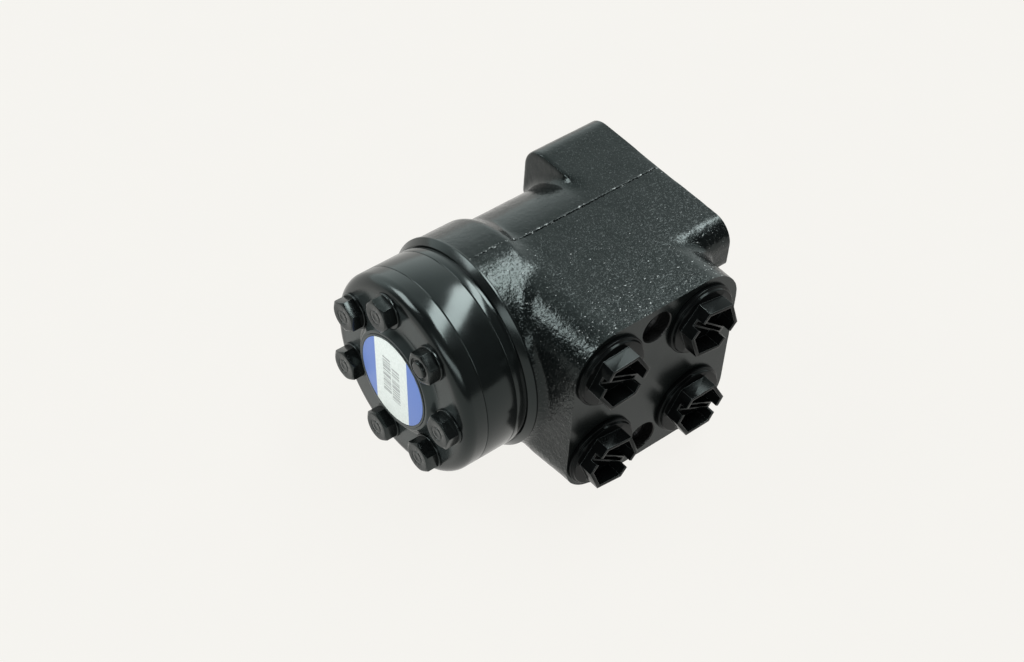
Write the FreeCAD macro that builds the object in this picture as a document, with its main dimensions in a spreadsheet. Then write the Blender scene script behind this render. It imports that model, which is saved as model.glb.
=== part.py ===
import FreeCAD, Part
import Sketcher
import math
import os
from FreeCAD import Placement, Rotation, Vector

# Orbital steering unit, millimetres.
# X runs along the rotor axis: x = 0 is the column mounting face, -X points to
# the end cover. -Y is the port face, +Z is up.

doc = FreeCAD.newDocument("orbital_steering_unit")
sheet = doc.addObject("Spreadsheet::Sheet", "dims")

ROWS = [
    ("barrel_rad", 43.9, "radius of the cast barrel"),
    ("collar_rad", 47.2, "radius of the cast collar behind the machined cone"),
    ("collar_front", 101.8, "collar, distance of its front edge from the face"),
    ("collar_back", 80.0, "collar, distance of its back edge from the face"),
    ("ring_rad", 47.8, "largest radius of the machined cone"),
    ("ring_taper", 2.5, "how much the machined cone narrows towards the gear set"),
    ("ring_front", 105.6, "front edge of the machined cone"),
    ("ring_back", 102.4, "back edge of the machined land behind the cone"),
    ("neck_rad", 44.2, "radius of the recess between the cone and the distributor plate"),
    ("joint_one", 107.3, "housing to distributor plate joint"),
    ("joint_two", 110.86, "distributor plate to gear ring joint"),
    ("joint_three", 125.74, "gear ring to end cover joint"),
    ("cover_face", 136.2, "bolt face of the end cover"),
    ("boss_face", 139.5, "face of the central boss of the end cover"),
    ("head_top", 142.67, "top of the screw heads"),
    ("gear_rad", 45.0, "outside radius of gear ring, plate and end cover"),
    ("seam_chamfer", 0.35, "edge break at the joints"),
    ("half_height", 44.0, "half height of the flange and the port block"),
    ("ear_right", 46.2, "flange half width on the port side"),
    ("ear_left", 45.0, "flange half width on the far side"),
    ("ear_depth", 36.0, "flange thickness along X"),
    ("ear_gap_right", 22.5, "half height of the gap between the ears, port side"),
    ("ear_gap_left", 14.0, "half height of the gap between the ears, far side"),
    ("ear_round_right", 10.0, "corner rounding, port side"),
    ("ear_round_left", 11.5, "corner rounding, far side"),
    ("block_front", 98.0, "port block, end nearest the end cover"),
    ("block_back", 11.0, "port block, end nearest the flange face"),
    ("port_face", 63.4, "distance of the port face from the axis"),
    ("block_round", 18.5, "corner rounding of the port block"),
    ("port_cx", 56.14, "centre of the port square along X"),
    ("port_half", 24.2, "half spacing of the ports"),
    ("port_rad", 10.3, "port thread radius"),
    ("port_depth", 15.0, "port thread depth"),
    ("valve_half", 33.2, "half spacing of the two valve block screws"),
    ("valve_sink_rad", 7.6, "counterbore radius of the valve block holes"),
    ("valve_sink", 5.0, "counterbore depth"),
    ("tap_ten", 4.25, "tapped M10 hole radius"),
    ("tap_ten_depth", 21.0, "depth of the flange tapped holes"),
    ("flange_pitch_rad", 41.25, "radius of the flange screw circle"),
    ("bolt_circle", 33.37, "radius of the cover screw circle"),
    ("bolt_rad", 4.0, "cover screw shank radius"),
    ("bolt_hole", 4.3, "through hole for a cover screw"),
    ("bolt_seat", 4.02, "tapped hole of a cover screw"),
    ("bolt_tap_depth", 19.0, "depth of the tapped holes"),
    ("head_across", 13.0, "cover screw head across flats"),
    ("washer_rad", 7.9, "cover screw washer radius"),
    ("washer_thick", 1.1, "cover screw washer thickness"),
    ("bore_rad", 19.03, "main bore"),
    ("sleeve_rad", 19.0, "control sleeve outside radius"),
    ("sleeve_bore", 13.03, "control sleeve bore"),
    ("spool_rad", 13.0, "control spool radius"),
    ("spool_bore", 9.9, "control spool bore"),
    ("socket_minor", 8.75, "column socket minor radius"),
    ("pilot_rad", 10.6, "plain lead-in of the column socket, radius"),
    ("pilot_depth", 7.0, "mounting face to the foot of the plain lead-in"),
    ("socket_major", 10.4, "column socket major radius"),
    ("socket_depth", 24.0, "column socket depth from the face"),
    ("spool_end", 2.0, "recess of the spool end below the face"),
    ("seat_rad", 20.0, "dust seal seat radius"),
    ("seat_depth", 5.5, "dust seal seat depth"),
    ("lip_bore", 14.2, "bore of the lip behind the dust seal"),
    ("groove_front", 9.0, "shaft seal groove, side near the face"),
    ("groove_back", 15.0, "shaft seal groove, side near the bearing"),
    ("groove_rad", 18.5, "shaft seal groove radius"),
    ("pin_at", 52.0, "cross pin centre"),
    ("pin_rad", 3.97, "cross pin radius"),
    ("pin_half", 18.3, "cross pin half length"),
    ("spring_at", 28.0, "centre of the leaf springs"),
    ("eccentricity", 2.9, "orbit radius of the rotor"),
    ("lobe_circle", 32.0, "radius of the lobe centres of the gear ring"),
    ("lobe_rad", 6.5, "lobe radius of the gear ring"),
    ("ring_root", 31.5, "root radius of the gear ring"),
    ("mesh_gap", 0.08, "clearance between rotor and lobes"),
    ("plug_base_rad", 16.8, "port plug base flange radius"),
    ("plug_base", 1.7, "port plug base flange thickness"),
    ("plug_step_rad", 15.9, "port plug second flange radius"),
    ("plug_step", 3.0, "height of the second flange above the face"),
    ("plug_rim", 9.55, "height of the hexagon rim above the face"),
    ("plug_across", 23.1, "hexagon across flats"),
    ("plug_wall", 1.6, "hexagon wall"),
    ("plug_shank_rad", 10.2, "port plug shank radius"),
    ("plate_rad", 21.3, "blank name disc radius"),
]
ANGLE0 = 76.352          # degrees, first cover screw, from +Y towards +Z
PLUG_TURN = [152.5, 139.8, 142.2, 150.4]   # how far each port plug is screwed round

VAL = {}
for i, (alias, value, note) in enumerate(ROWS, 1):
    sheet.set("A%d" % i, alias)
    sheet.set("B%d" % i, str(value))
    sheet.setAlias("B%d" % i, alias)
    sheet.set("C%d" % i, note)
    VAL[alias] = value
doc.recompute()


class Q:
    """A size: its value, and the sheet expression that gives it."""

    def __init__(self, val, expr):
        self.val = float(val)
        self.expr = expr

    @staticmethod
    def of(x):
        return x if isinstance(x, Q) else Q(x, "(%.9g)" % float(x))

    def __add__(self, o):
        o = Q.of(o)
        return Q(self.val + o.val, "(%s + %s)" % (self.expr, o.expr))

    __radd__ = __add__

    def __sub__(self, o):
        o = Q.of(o)
        return Q(self.val - o.val, "(%s - %s)" % (self.expr, o.expr))

    def __rsub__(self, o):
        return Q.of(o) - self

    def __mul__(self, o):
        o = Q.of(o)
        return Q(self.val * o.val, "(%s * %s)" % (self.expr, o.expr))

    __rmul__ = __mul__

    def __neg__(self):
        return Q(-self.val, "(0 - %s)" % self.expr)


def d(alias):
    return Q(VAL[alias], "dims." + alias)


# ---------------------------------------------------------------- helpers
def body(name):
    b = doc.addObject("PartDesign::Body", name)
    b.Label = name
    return b


def origin(b, role):
    for f in b.Origin.OriginFeatures:
        if f.Role == role:
            return f
    raise RuntimeError(role)


def sketch(b, name, role, offset=0.0):
    s = b.newObject("Sketcher::SketchObject", name)
    s.AttachmentSupport = [(origin(b, role), "")]
    s.MapMode = "FlatFace"
    offset = Q.of(offset)
    s.AttachmentOffset = Placement(Vector(0, 0, offset.val), Rotation())
    s.setExpression("AttachmentOffset.Base.z", offset.expr)
    return s


def polygon(s, pts):
    pts = [(Q.of(u), Q.of(v)) for u, v in pts]
    n = len(pts)
    first = s.GeometryCount
    for k in range(n):
        a, c = pts[k], pts[(k + 1) % n]
        s.addGeometry(Part.LineSegment(Vector(a[0].val, a[1].val, 0), Vector(c[0].val, c[1].val, 0)), False)
    for k in range(n):
        s.addConstraint(Sketcher.Constraint("Coincident", first + k, 2, first + (k + 1) % n, 1))
    for k, (u, v) in enumerate(pts):
        c = s.addConstraint(Sketcher.Constraint("DistanceX", -1, 1, first + k, 1, u.val))
        s.setExpression("Constraints[%d]" % c, u.expr)
        c = s.addConstraint(Sketcher.Constraint("DistanceY", -1, 1, first + k, 1, v.val))
        s.setExpression("Constraints[%d]" % c, v.expr)


def circle(s, u, v, r):
    u, v, r = Q.of(u), Q.of(v), Q.of(r)
    g = s.addGeometry(Part.Circle(Vector(u.val, v.val, 0), Vector(0, 0, 1), r.val), False)
    c = s.addConstraint(Sketcher.Constraint("DistanceX", -1, 1, g, 3, u.val))
    s.setExpression("Constraints[%d]" % c, u.expr)
    c = s.addConstraint(Sketcher.Constraint("DistanceY", -1, 1, g, 3, v.val))
    s.setExpression("Constraints[%d]" % c, v.expr)
    c = s.addConstraint(Sketcher.Constraint("Radius", g, r.val))
    s.setExpression("Constraints[%d]" % c, r.expr)


def turned(name, pts):
    """A turned piece: (x, radius) points spun about the X axis."""
    b = body(name)
    s = sketch(b, name + "_profile", "XY_Plane")
    polygon(s, pts)
    r = b.newObject("PartDesign::Revolution", name + "_turn")
    r.Profile = s
    r.ReferenceAxis = (s, ["H_Axis"])
    r.Angle = 360.0
    doc.recompute()
    if abs(r.Shape.Volume) < 1e-6:
        raise RuntimeError("empty " + name)
    return b


def pad(b, name, s, length, reverse=False):
    p = b.newObject("PartDesign::Pad", name)
    p.Profile = s
    length = Q.of(length)
    p.Length = length.val
    p.setExpression("Length", length.expr)
    p.Reversed = reverse
    doc.recompute()
    return p


def pocket_through(b, name, s):
    before = b.Shape.Volume
    p = b.newObject("PartDesign::Pocket", name)
    p.Profile = s
    p.Type = "ThroughAll"
    p.Midplane = True
    doc.recompute()
    if not b.Shape.Volume < before - 1e-3:
        raise RuntimeError("pocket cut nothing: " + name)
    return p


def pocket(b, name, s, depth, reverse):
    before = b.Shape.Volume
    p = b.newObject("PartDesign::Pocket", name)
    p.Profile = s
    depth = Q.of(depth)
    p.Length = depth.val
    p.setExpression("Length", depth.expr)
    p.Reversed = reverse
    doc.recompute()
    if not b.Shape.Volume < before - 1e-3:
        raise RuntimeError("pocket cut nothing: " + name)
    return p


def edges_where(shape, test):
    return ["Edge%d" % (k + 1) for k, e in enumerate(shape.Edges) if test(e)]


def fillet(b, name, base, radius, test):
    names = edges_where(base.Shape, test)
    if not names:
        raise RuntimeError("no edge for " + name)
    f = b.newObject("PartDesign::Fillet", name)
    f.Base = (base, names)
    radius = Q.of(radius)
    f.Radius = radius.val
    f.setExpression("Radius", radius.expr)
    doc.recompute()
    return f


def chamfer(b, name, base, size, test):
    names = edges_where(base.Shape, test)
    if not names:
        raise RuntimeError("no edge for " + name)
    f = b.newObject("PartDesign::Chamfer", name)
    f.Base = (base, names)
    size = Q.of(size)
    f.Size = size.val
    f.setExpression("Size", size.expr)
    doc.recompute()
    return f


ALONG_X = Rotation(Vector(0, 1, 0), 90)      # local Z to +X
ALONG_NY = Rotation(Vector(1, 0, 0), 90)     # local Z to -Y
ALONG_Z = Rotation()
COUNT = [0]


def prim(kind, rot, pos, **props):
    COUNT[0] += 1
    o = doc.addObject(kind, "p%03d" % COUNT[0])
    pos = [Q.of(c) for c in pos]
    o.Placement = Placement(Vector(*[c.val for c in pos]), rot)
    for axis, c in zip("xyz", pos):
        o.setExpression("Placement.Base." + axis, c.expr)
    for k, v in props.items():
        if k == "Polygon":
            o.Polygon = v
            continue
        v = Q.of(v)
        setattr(o, k, v.val)
        o.setExpression(k, v.expr)
    return o


def cyl_x(x0, length, rad, y=0.0, z=0.0):
    return prim("Part::Cylinder", ALONG_X, (x0, y, z), Radius=rad, Height=length)


def cyl_y(y0, length, rad, x, z):
    """Cylinder from y0 towards -Y."""
    return prim("Part::Cylinder", ALONG_NY, (x, y0, z), Radius=rad, Height=length)


def fuse(name, shapes):
    o = doc.addObject("Part::MultiFuse", name)
    o.Shapes = shapes
    o.Label = name
    return o


def cut(name, base, tools):
    if len(tools) > 1:
        t = fuse(name + "_tools", tools)
    else:
        t = tools[0]
    o = doc.addObject("Part::Cut", name)
    o.Base = base
    o.Tool = t
    o.Label = name
    return o


def carve(name, base, stages):
    """Cuts made one group of tools after another."""
    for n, tools_ in enumerate(stages):
        last = n == len(stages) - 1
        base = cut(name if last else "%s_stage_%d" % (name, n + 1), base, tools_)
    return base


def group(name, items):
    o = doc.addObject("Part::Compound", name)
    o.Links = items
    o.Label = name
    return o


NODES = {}

# the seven cover screws, numbered from the first one round towards -angle
SCREWS = []
for k in range(7):
    a = math.radians(ANGLE0 - k * 360.0 / 7.0)
    SCREWS.append((math.cos(a), math.sin(a)))
SPECIAL = 6      # the screw that holds the check ball in


def on_circle(k, rad):
    c, s_ = SCREWS[k]
    return rad * c, rad * s_


def angle_of(k):
    return math.radians(ANGLE0 - k * 360.0 / 7.0)


# ---------------------------------------------------------------- housing
shell = turned("housing_turned", [
    (-d("joint_one"), 0.0),
    (-d("joint_one"), d("neck_rad")),
    (-d("ring_front"), d("neck_rad")),
    (-d("ring_front"), d("ring_rad") - d("ring_taper")),
    (-d("ring_front") + d("ring_taper"), d("ring_rad")),
    (-d("ring_back"), d("ring_rad")),
    (-d("collar_front"), d("collar_rad")),
    (-d("collar_back") - 3.0, d("collar_rad")),
    (-d("collar_back"), d("collar_rad") - 0.6),
    (-d("collar_back") + 6.0, d("barrel_rad")),
    (0.0, d("barrel_rad")),
    (0.0, 0.0),
])

flange = body("housing_flange")
s = sketch(flange, "flange_outline", "YZ_Plane", -d("ear_depth"))
hh, gap, gapl = d("half_height"), d("ear_gap_right"), d("ear_gap_left")
yl, yr = d("ear_left"), -d("ear_right")
polygon(s, [(yl, hh), (yl, gapl), (38.0, 9.0), (38.0, -9.0), (yl, -gapl), (yl, -hh),
            (yr, -hh), (yr, -gap), (-38.0, -17.0), (-38.0, 17.0), (yr, gap), (yr, hh)])
p = pad(flange, "flange_pad", s, d("ear_depth"))


def along_x(e, y, z, tol=0.05):
    b = e.BoundBox
    return b.XLength > 5 and b.YLength < 0.01 and b.ZLength < 0.01 and abs(b.YMin - y) < tol and abs(b.ZMin - z) < tol


f = fillet(flange, "flange_round_right", p, d("ear_round_right"),
           lambda e: along_x(e, yr.val, hh.val) or along_x(e, yr.val, -hh.val))
f = fillet(flange, "flange_round_left", f, d("ear_round_left"),
           lambda e: along_x(e, yl.val, hh.val) or along_x(e, yl.val, -hh.val))
f = fillet(flange, "flange_ear_ends", f, 3.5,
           lambda e: any(along_x(e, y, z) for y, g in ((yl.val, gapl.val), (yr.val, gap.val)) for z in (g, -g)))
f = fillet(flange, "flange_front_edges", f, 2.0,
           lambda e: (e.BoundBox.XLength < 0.01 and abs(e.BoundBox.XMin + 36.0) < 0.01 and e.BoundBox.YMin > 43.0
                      and e.BoundBox.ZLength > 3.0 and abs((e.BoundBox.ZMin + e.BoundBox.ZMax) / 2) > 18
                      and e.BoundBox.YLength < 0.01))

block = body("housing_block")
s = sketch(block, "block_outline", "XZ_Plane")
polygon(s, [(-d("block_front"), -hh), (-d("block_back"), -hh), (-d("block_back"), hh), (-d("block_front"), hh)])
p = pad(block, "block_pad", s, d("port_face"))
if block.Shape.BoundBox.YMin > -1.0:
    raise RuntimeError("port block points the wrong way")
f = fillet(block, "block_round_corners", p, d("block_round"),
           lambda e: e.BoundBox.YLength > 5 and e.BoundBox.XLength < 0.01 and e.BoundBox.ZLength < 0.01)

casting = fuse("housing_casting", [shell, flange, block])

bore = turned("housing_bore", [
    (1.0, 0.0), (1.0, d("seat_rad")), (-d("seat_depth"), d("seat_rad")), (-d("seat_depth"), d("lip_bore")),
    (-d("groove_front"), d("lip_bore")), (-d("groove_front"), d("groove_rad")),
    (-d("groove_back"), d("groove_rad")), (-d("groove_back"), d("bore_rad")),
    (-27.9, d("bore_rad")), (-27.9, 22.0), (-35.9, 22.0), (-35.9, d("bore_rad")),
    (-45.0, d("bore_rad")), (-45.0, 22.0), (-50.0, 22.0), (-50.0, d("bore_rad")),
    (-62.0, d("bore_rad")), (-62.0, 22.0), (-67.0, 22.0), (-67.0, d("bore_rad")),
    (-76.3, d("bore_rad")), (-76.3, 22.0), (-84.3, 22.0), (-84.3, d("bore_rad")),
    (-d("joint_one") - 1.0, d("bore_rad")), (-d("joint_one") - 1.0, 0.0)])

stages = [[bore]]
# groove for the O-ring in the rear face
oring_groove = turned("housing_o_ring_groove", [
    (-d("joint_one") - 1.0, 38.0), (-d("joint_one") + 1.42, 38.0),
    (-d("joint_one") + 1.42, 40.2), (-d("joint_one") - 1.0, 40.2)])
stages.append([oring_groove])
# tapped holes for the cover screws
tools = []
for k in range(7):
    y, z = on_circle(k, d("bolt_circle"))
    if k == SPECIAL:
        tools.append(cyl_x(-d("joint_one") - 0.5, 11.0, 5.0, y, z))
        tools.append(cyl_x(-d("joint_one") + 10.4, 10.9, 4.6, y, z))
        tools.append(cyl_x(-d("joint_one") + 21.2, 7.0, 3.2, y, z))
    else:
        tools.append(cyl_x(-d("joint_one") - 0.5, d("bolt_tap_depth") + 0.5, d("bolt_seat"), y, z))
stages.append(tools)
# feed holes to the gear chambers
axial, radial = [], []
for k in range(7):
    a = angle_of(k) + math.pi / 7
    y, z = 25.2 * math.cos(a), 25.2 * math.sin(a)
    axial.append(cyl_x(-d("joint_one") - 0.5, 9.5, 2.0, y, z))
    r = prim("Part::Cylinder", Rotation(Vector(1, 0, 0), math.degrees(a) - 90.0),
             (-d("joint_one") + 7.0, 17.0 * math.cos(a), 17.0 * math.sin(a)), Radius=1.8, Height=9.0)
    radial.append(r)
stages.append(axial)
stages.append(radial)
# ports, their galleries to the bore, the valve block holes and the flange holes
PORTS = []
for sx, sz in ((-1, 1), (1, 1), (-1, -1), (1, -1)):
    PORTS.append((-d("port_cx") + sx * d("port_half"), sz * d("port_half")))
GALLERY = [-80.3, -31.9, -64.5, -47.5]
mouths, galleries, valve, flange_holes = [], [], [], []
for (px, pz), gx in zip(PORTS, GALLERY):
    mouths.append(cyl_y(-d("port_face") + d("port_depth"), d("port_depth") + 1.0, d("port_rad"), px, pz))
    mouths.append(cyl_y(-d("port_face") + 2.3, 3.3, 11.25, px, pz))      # seat of the plug's O-ring
    start = Vector(px.val, -50.0, pz.val * 0.93)
    goal = Vector(gx, -19.5, 6.0 if pz.val > 0 else -6.0)
    way = goal - start
    g = prim("Part::Cylinder", Rotation(Vector(0, 0, 1), way), (start.x, start.y, start.z), Radius=4.0 if abs(px.val - gx) < 2 else 2.4,
             Height=way.Length)
    galleries.append(g)
for sz in (1, -1):
    valve.append(cyl_y(-d("port_face") + d("valve_sink"), d("valve_sink") + 1.0, d("valve_sink_rad"),
                       -d("port_cx"), sz * d("valve_half")))
    valve.append(cyl_y(-d("port_face") + 22.0, 23.0, d("tap_ten"), -d("port_cx"), sz * d("valve_half")))
for sy in (1, -1):
    for sz in (1, -1):
        c = d("flange_pitch_rad") * math.cos(math.radians(45))
        flange_holes.append(cyl_x(-d("tap_ten_depth"), d("tap_ten_depth") + 1.0, d("tap_ten"), sy * c, sz * c))
stages += [mouths, galleries, valve, flange_holes]
housing = carve("housing", casting, stages)
NODES["housing"] = housing

# ---------------------------------------------------------------- column end seals and bearing
NODES["dust_seal"] = turned("dust_seal", [
    (-d("seat_depth") + 0.05, d("seat_rad") - 0.04), (-0.5, d("seat_rad") - 0.04), (-0.3, d("seat_rad") - 0.3),
    (-0.3, 17.2), (-1.1, 16.4), (-1.5, 13.7), (-2.8, 13.06), (-3.5, 13.06), (-4.0, 14.6), (-4.4, 16.6),
    (-d("seat_depth") + 0.05, 16.6)])
NODES["shaft_seal"] = turned("shaft_seal", [
    (-d("groove_back") + 0.6, 13.05), (-d("groove_front") - 0.1, 13.05), (-d("groove_front") - 0.1, 15.25),
    (-d("groove_back") + 0.6, 15.25)])


def torus(name, x, big, small):
    o = prim("Part::Torus", ALONG_X, (x, 0.0, 0.0), Radius1=big, Radius2=small)
    o.Label = name
    return o


NODES["shaft_seal_o_ring"] = torus("shaft_seal_o_ring", -d("groove_front") - 3.0, 16.85, 1.55)
NODES["bearing_outer_race"] = turned("bearing_outer_race", [
    (-17.3, 13.5), (-d("groove_back") - 0.1, 13.5), (-d("groove_back") - 0.1, 18.5), (-15.6, 18.95), (-17.3, 18.95)])
cage = turned("thrust_cage_ring", [(-18.8, 13.6), (-17.8, 13.6), (-17.8, 18.6), (-18.8, 18.6)])
NEEDLES = 20
windows, needles = [], []
for k in range(NEEDLES):
    a = 360.0 * k / NEEDLES
    c, s_ = math.cos(math.radians(a)), math.sin(math.radians(a))
    rot = Rotation(Vector(1, 0, 0), a)
    # window: a box centred on the roller, turned round X
    w = prim("Part::Box", rot, (-19.5, 14.3 * c + 1.02 * s_, 14.3 * s_ - 1.02 * c), Length=2.4, Width=3.6, Height=2.04)
    windows.append(w)
    n = prim("Part::Cylinder", Rotation(Vector(1, 0, 0), a - 90.0), (-18.3, 14.4 * c, 14.4 * s_), Radius=0.97, Height=3.4)
    needles.append(n)
NODES["thrust_cage"] = cut("thrust_cage", cage, windows)
NODES["needle_rollers"] = group("needle_rollers", needles)
NODES["bearing_inner_race"] = turned("bearing_inner_race", [
    (-21.4, 13.5), (-19.3, 13.5), (-19.3, 18.5), (-21.4, 18.5)])

# ---------------------------------------------------------------- control set
sleeve_turn = turned("sleeve_turned", [
    (-106.9, d("sleeve_bore")), (-21.45, d("sleeve_bore")), (-21.45, 17.6), (-34.3, 17.6), (-34.3, d("sleeve_rad")),
    (-61.0, d("sleeve_rad")), (-61.0, 18.2), (-68.0, 18.2), (-68.0, d("sleeve_rad")),
    (-75.5, d("sleeve_rad")), (-75.5, 18.2), (-85.0, 18.2), (-85.0, d("sleeve_rad")),
    (-106.9, d("sleeve_rad"))])
st = [prim("Part::Cylinder", ALONG_NY, (-d("pin_at"), 20.0, 0.0), Radius=4.0, Height=40.0),
      prim("Part::Box", ALONG_Z, (-31.2, -1.75, -20.0), Length=6.4, Width=3.5, Height=40.0)]
for row, (x, n, r, phase) in enumerate(((-98.5, 7, 1.3, 12.0), (-93.0, 7, 1.3, 37.7), (-80.3, 6, 1.8, 0.0), (-64.5, 6, 1.5, 30.0),
                                        (-42.0, 6, 1.5, 15.0))):
    for k in range(n):
        a = phase + 360.0 * k / n
        c, s_ = math.cos(math.radians(a)), math.sin(math.radians(a))
        st.append(prim("Part::Cylinder", Rotation(Vector(1, 0, 0), a - 90.0), (x, 11.0 * c, 11.0 * s_), Radius=r, Height=10.0))
NODES["control_sleeve"] = cut("control_sleeve", sleeve_turn, st)

spool_turn = turned("spool_turned", [
    (-106.8, d("spool_bore")), (-d("socket_depth"), d("spool_bore")), (-d("socket_depth"), d("socket_minor")),
    (-d("pilot_depth"), d("socket_minor")), (-d("pilot_depth"), d("pilot_rad")), (-d("spool_end"), d("pilot_rad")), (-d("spool_end"), 12.4), (-d("spool_end") - 0.6, d("spool_rad")),
    (-88.0, d("spool_rad")), (-88.0, 12.2), (-90.5, 12.2), (-90.5, d("spool_rad")), (-106.8, d("spool_rad"))])
sp = [prim("Part::Cylinder", ALONG_NY, (-d("pin_at"), 14.0, 0.0), Radius=6.2, Height=28.0),
      prim("Part::Box", ALONG_Z, (-31.4, -3.5, -14.0), Length=6.8, Width=7.0, Height=28.0)]
for k in range(12):     # spline grooves of the column socket
    a = 30.0 * k
    rot = Rotation(Vector(1, 0, 0), a)
    s_, c = math.sin(math.radians(a)), math.cos(math.radians(a))
    sp.append(prim("Part::Box", rot, (-d("socket_depth") - 0.1, 8.0 * c + 1.15 * s_, 8.0 * s_ - 1.15 * c),
                   Length=d("socket_depth"), Width=d("socket_major") - 8.0, Height=2.3))
for k in range(6):      # timing slots on the outside
    a = 60.0 * k + 15.0
    rot = Rotation(Vector(1, 0, 0), a)
    s_, c = math.sin(math.radians(a)), math.cos(math.radians(a))
    sp.append(prim("Part::Box", rot, (-99.5, 12.0 * c + 1.2 * s_, 12.0 * s_ - 1.2 * c), Length=22.0, Width=2.0, Height=2.4))
    sp.append(prim("Part::Cylinder", Rotation(Vector(1, 0, 0), a - 60.0), (-72.0, 8.0 * math.cos(math.radians(a + 30)),
                                                                          8.0 * math.sin(math.radians(a + 30))),
                   Radius=1.5, Height=6.0))
NODES["control_spool"] = cut("control_spool", spool_turn, sp)

NODES["spring_ring"] = turned("spring_ring", [(-34.1, 17.65), (-22.0, 17.65), (-22.0, 18.85), (-34.1, 18.85)])
pin = prim("Part::Cylinder", ALONG_NY, (-d("pin_at"), d("pin_half"), 0.0), Radius=d("pin_rad"), Height=2.0 * d("pin_half"))
pin.Label = "cross_pin"
NODES["cross_pin"] = pin
flat = [prim("Part::Box", ALONG_Z, (-d("spring_at") - 2.95, y, -17.3), Length=5.9, Width=0.42, Height=34.6)
        for y in (0.04, -0.46)]
NODES["leaf_springs_flat"] = group("leaf_springs_flat", flat)


def bowed(name, y0, side):
    """A leaf bowed so that its ends stand away from the flat leaves."""
    b = body(name)
    s = sketch(b, name + "_outline", "YZ_Plane", -d("spring_at") - 2.95)
    pts = []
    n = 8
    for k in range(n + 1):
        z = -17.3 + 34.6 * k / n
        pts.append((side * (y0 + 0.35 * (z / 17.3) ** 2), z))
    for k in range(n, -1, -1):
        z = -17.3 + 34.6 * k / n
        pts.append((side * (y0 + 0.32 + 0.35 * (z / 17.3) ** 2), z))
    if side < 0:
        pts = pts[::-1]
    polygon(s, pts)
    pad(b, name + "_pad", s, 5.9)
    return b


NODES["leaf_springs_curved"] = group("leaf_springs_curved", [
    bowed("leaf_a", 0.52, 1), bowed("leaf_b", 0.92, 1), bowed("leaf_c", 0.52, -1), bowed("leaf_d", 0.92, -1)])

# ---------------------------------------------------------------- gear set
a0 = angle_of(0)
ecc, rc, rl = VAL["eccentricity"], VAL["lobe_circle"], VAL["lobe_rad"]
centre = Vector(0, ecc * math.cos(a0), ecc * math.sin(a0))

ring_turn = turned("gear_ring_turned", [
    (-d("joint_three"), d("ring_root")), (-d("joint_two"), d("ring_root")), (-d("joint_two"), d("gear_rad") - d("seam_chamfer")),
    (-d("joint_two") - d("seam_chamfer"), d("gear_rad")), (-d("joint_three") + d("seam_chamfer"), d("gear_rad")),
    (-d("joint_three"), d("gear_rad") - d("seam_chamfer"))])
lobes = []
for k in range(7):
    y, z = on_circle(k, d("lobe_circle"))
    lobes.append(cyl_x(-d("joint_three"), d("joint_three") - d("joint_two"), d("lobe_rad"), y, z))
ring_solid = fuse("gear_ring_solid", [ring_turn] + lobes)
gt = [turned("gear_ring_groove_rear", [(-d("joint_three") - 1.0, 38.0), (-d("joint_three") + 1.42, 38.0),
                                       (-d("joint_three") + 1.42, 40.2), (-d("joint_three") - 1.0, 40.2)]),
      turned("gear_ring_groove_front", [(-d("joint_two") - 1.42, 38.0), (-d("joint_two") + 1.0, 38.0),
                                        (-d("joint_two") + 1.0, 40.2), (-d("joint_two") - 1.42, 40.2)])]
for k in range(7):
    y, z = on_circle(k, d("bolt_circle"))
    gt.append(cyl_x(-d("joint_three") - 0.5, d("joint_three") - d("joint_two") + 1.0, d("bolt_hole"), y, z))
NODES["gear_ring"] = cut("gear_ring", ring_solid, gt)

# rotor profile: the inner parallel curve of the path of one lobe centre seen from the rotor,
# six lobes, in true mesh with the seven lobes of the ring
N = 168
pts = []
for i in range(N):
    t = 2 * math.pi * i / N
    phi = 6.0 * t
    psi = -phi / 6.0
    X = rc - ecc * math.cos(phi)
    Y = -ecc * math.sin(phi)
    # derivative of the point in the rotor frame
    def at(u):
        ph = 6.0 * u
        ps = -ph / 6.0
        xx = rc - ecc * math.cos(ph)
        yy = -ecc * math.sin(ph)
        c, s_ = math.cos(-ps), math.sin(-ps)
        return c * xx - s_ * yy, s_ * xx + c * yy
    x0, y0 = at(t - 1e-5)
    x1, y1 = at(t + 1e-5)
    px, py = at(t)
    tx, ty = x1 - x0, y1 - y0
    L = math.hypot(tx, ty)
    nx, ny = -ty / L, tx / L
    if nx * px + ny * py > 0:
        nx, ny = -nx, -ny
    off = rl + VAL["mesh_gap"]
    pts.append((px + nx * off, py + ny * off))
ca, sa = math.cos(a0), math.sin(a0)
poles = [Vector(-125.69, centre.y + ca * u - sa * v, centre.z + sa * u + ca * v) for u, v in pts]
curve = Part.BSplineCurve()
curve.interpolate(poles, PeriodicFlag=True)
rotor_face = Part.Face(Part.Wire([curve.toShape()]))
blank = doc.addObject("Part::Feature", "rotor_blank")
blank.Shape = rotor_face.extrude(Vector(125.69 - 110.91, 0, 0))
rt = [cyl_x(-126.5, 17.0, 8.3, centre.y, centre.z)]
for k in range(12):
    a = 30.0 * k + math.degrees(a0)
    s_, c = math.sin(math.radians(a)), math.cos(math.radians(a))
    rt.append(prim("Part::Box", Rotation(Vector(1, 0, 0), a),
                   (-126.5, centre.y + 7.6 * c + 1.3 * s_, centre.z + 7.6 * s_ - 1.3 * c), Length=17.0, Width=2.3, Height=2.6))
NODES["gear_rotor"] = cut("gear_rotor", blank, rt)

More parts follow.
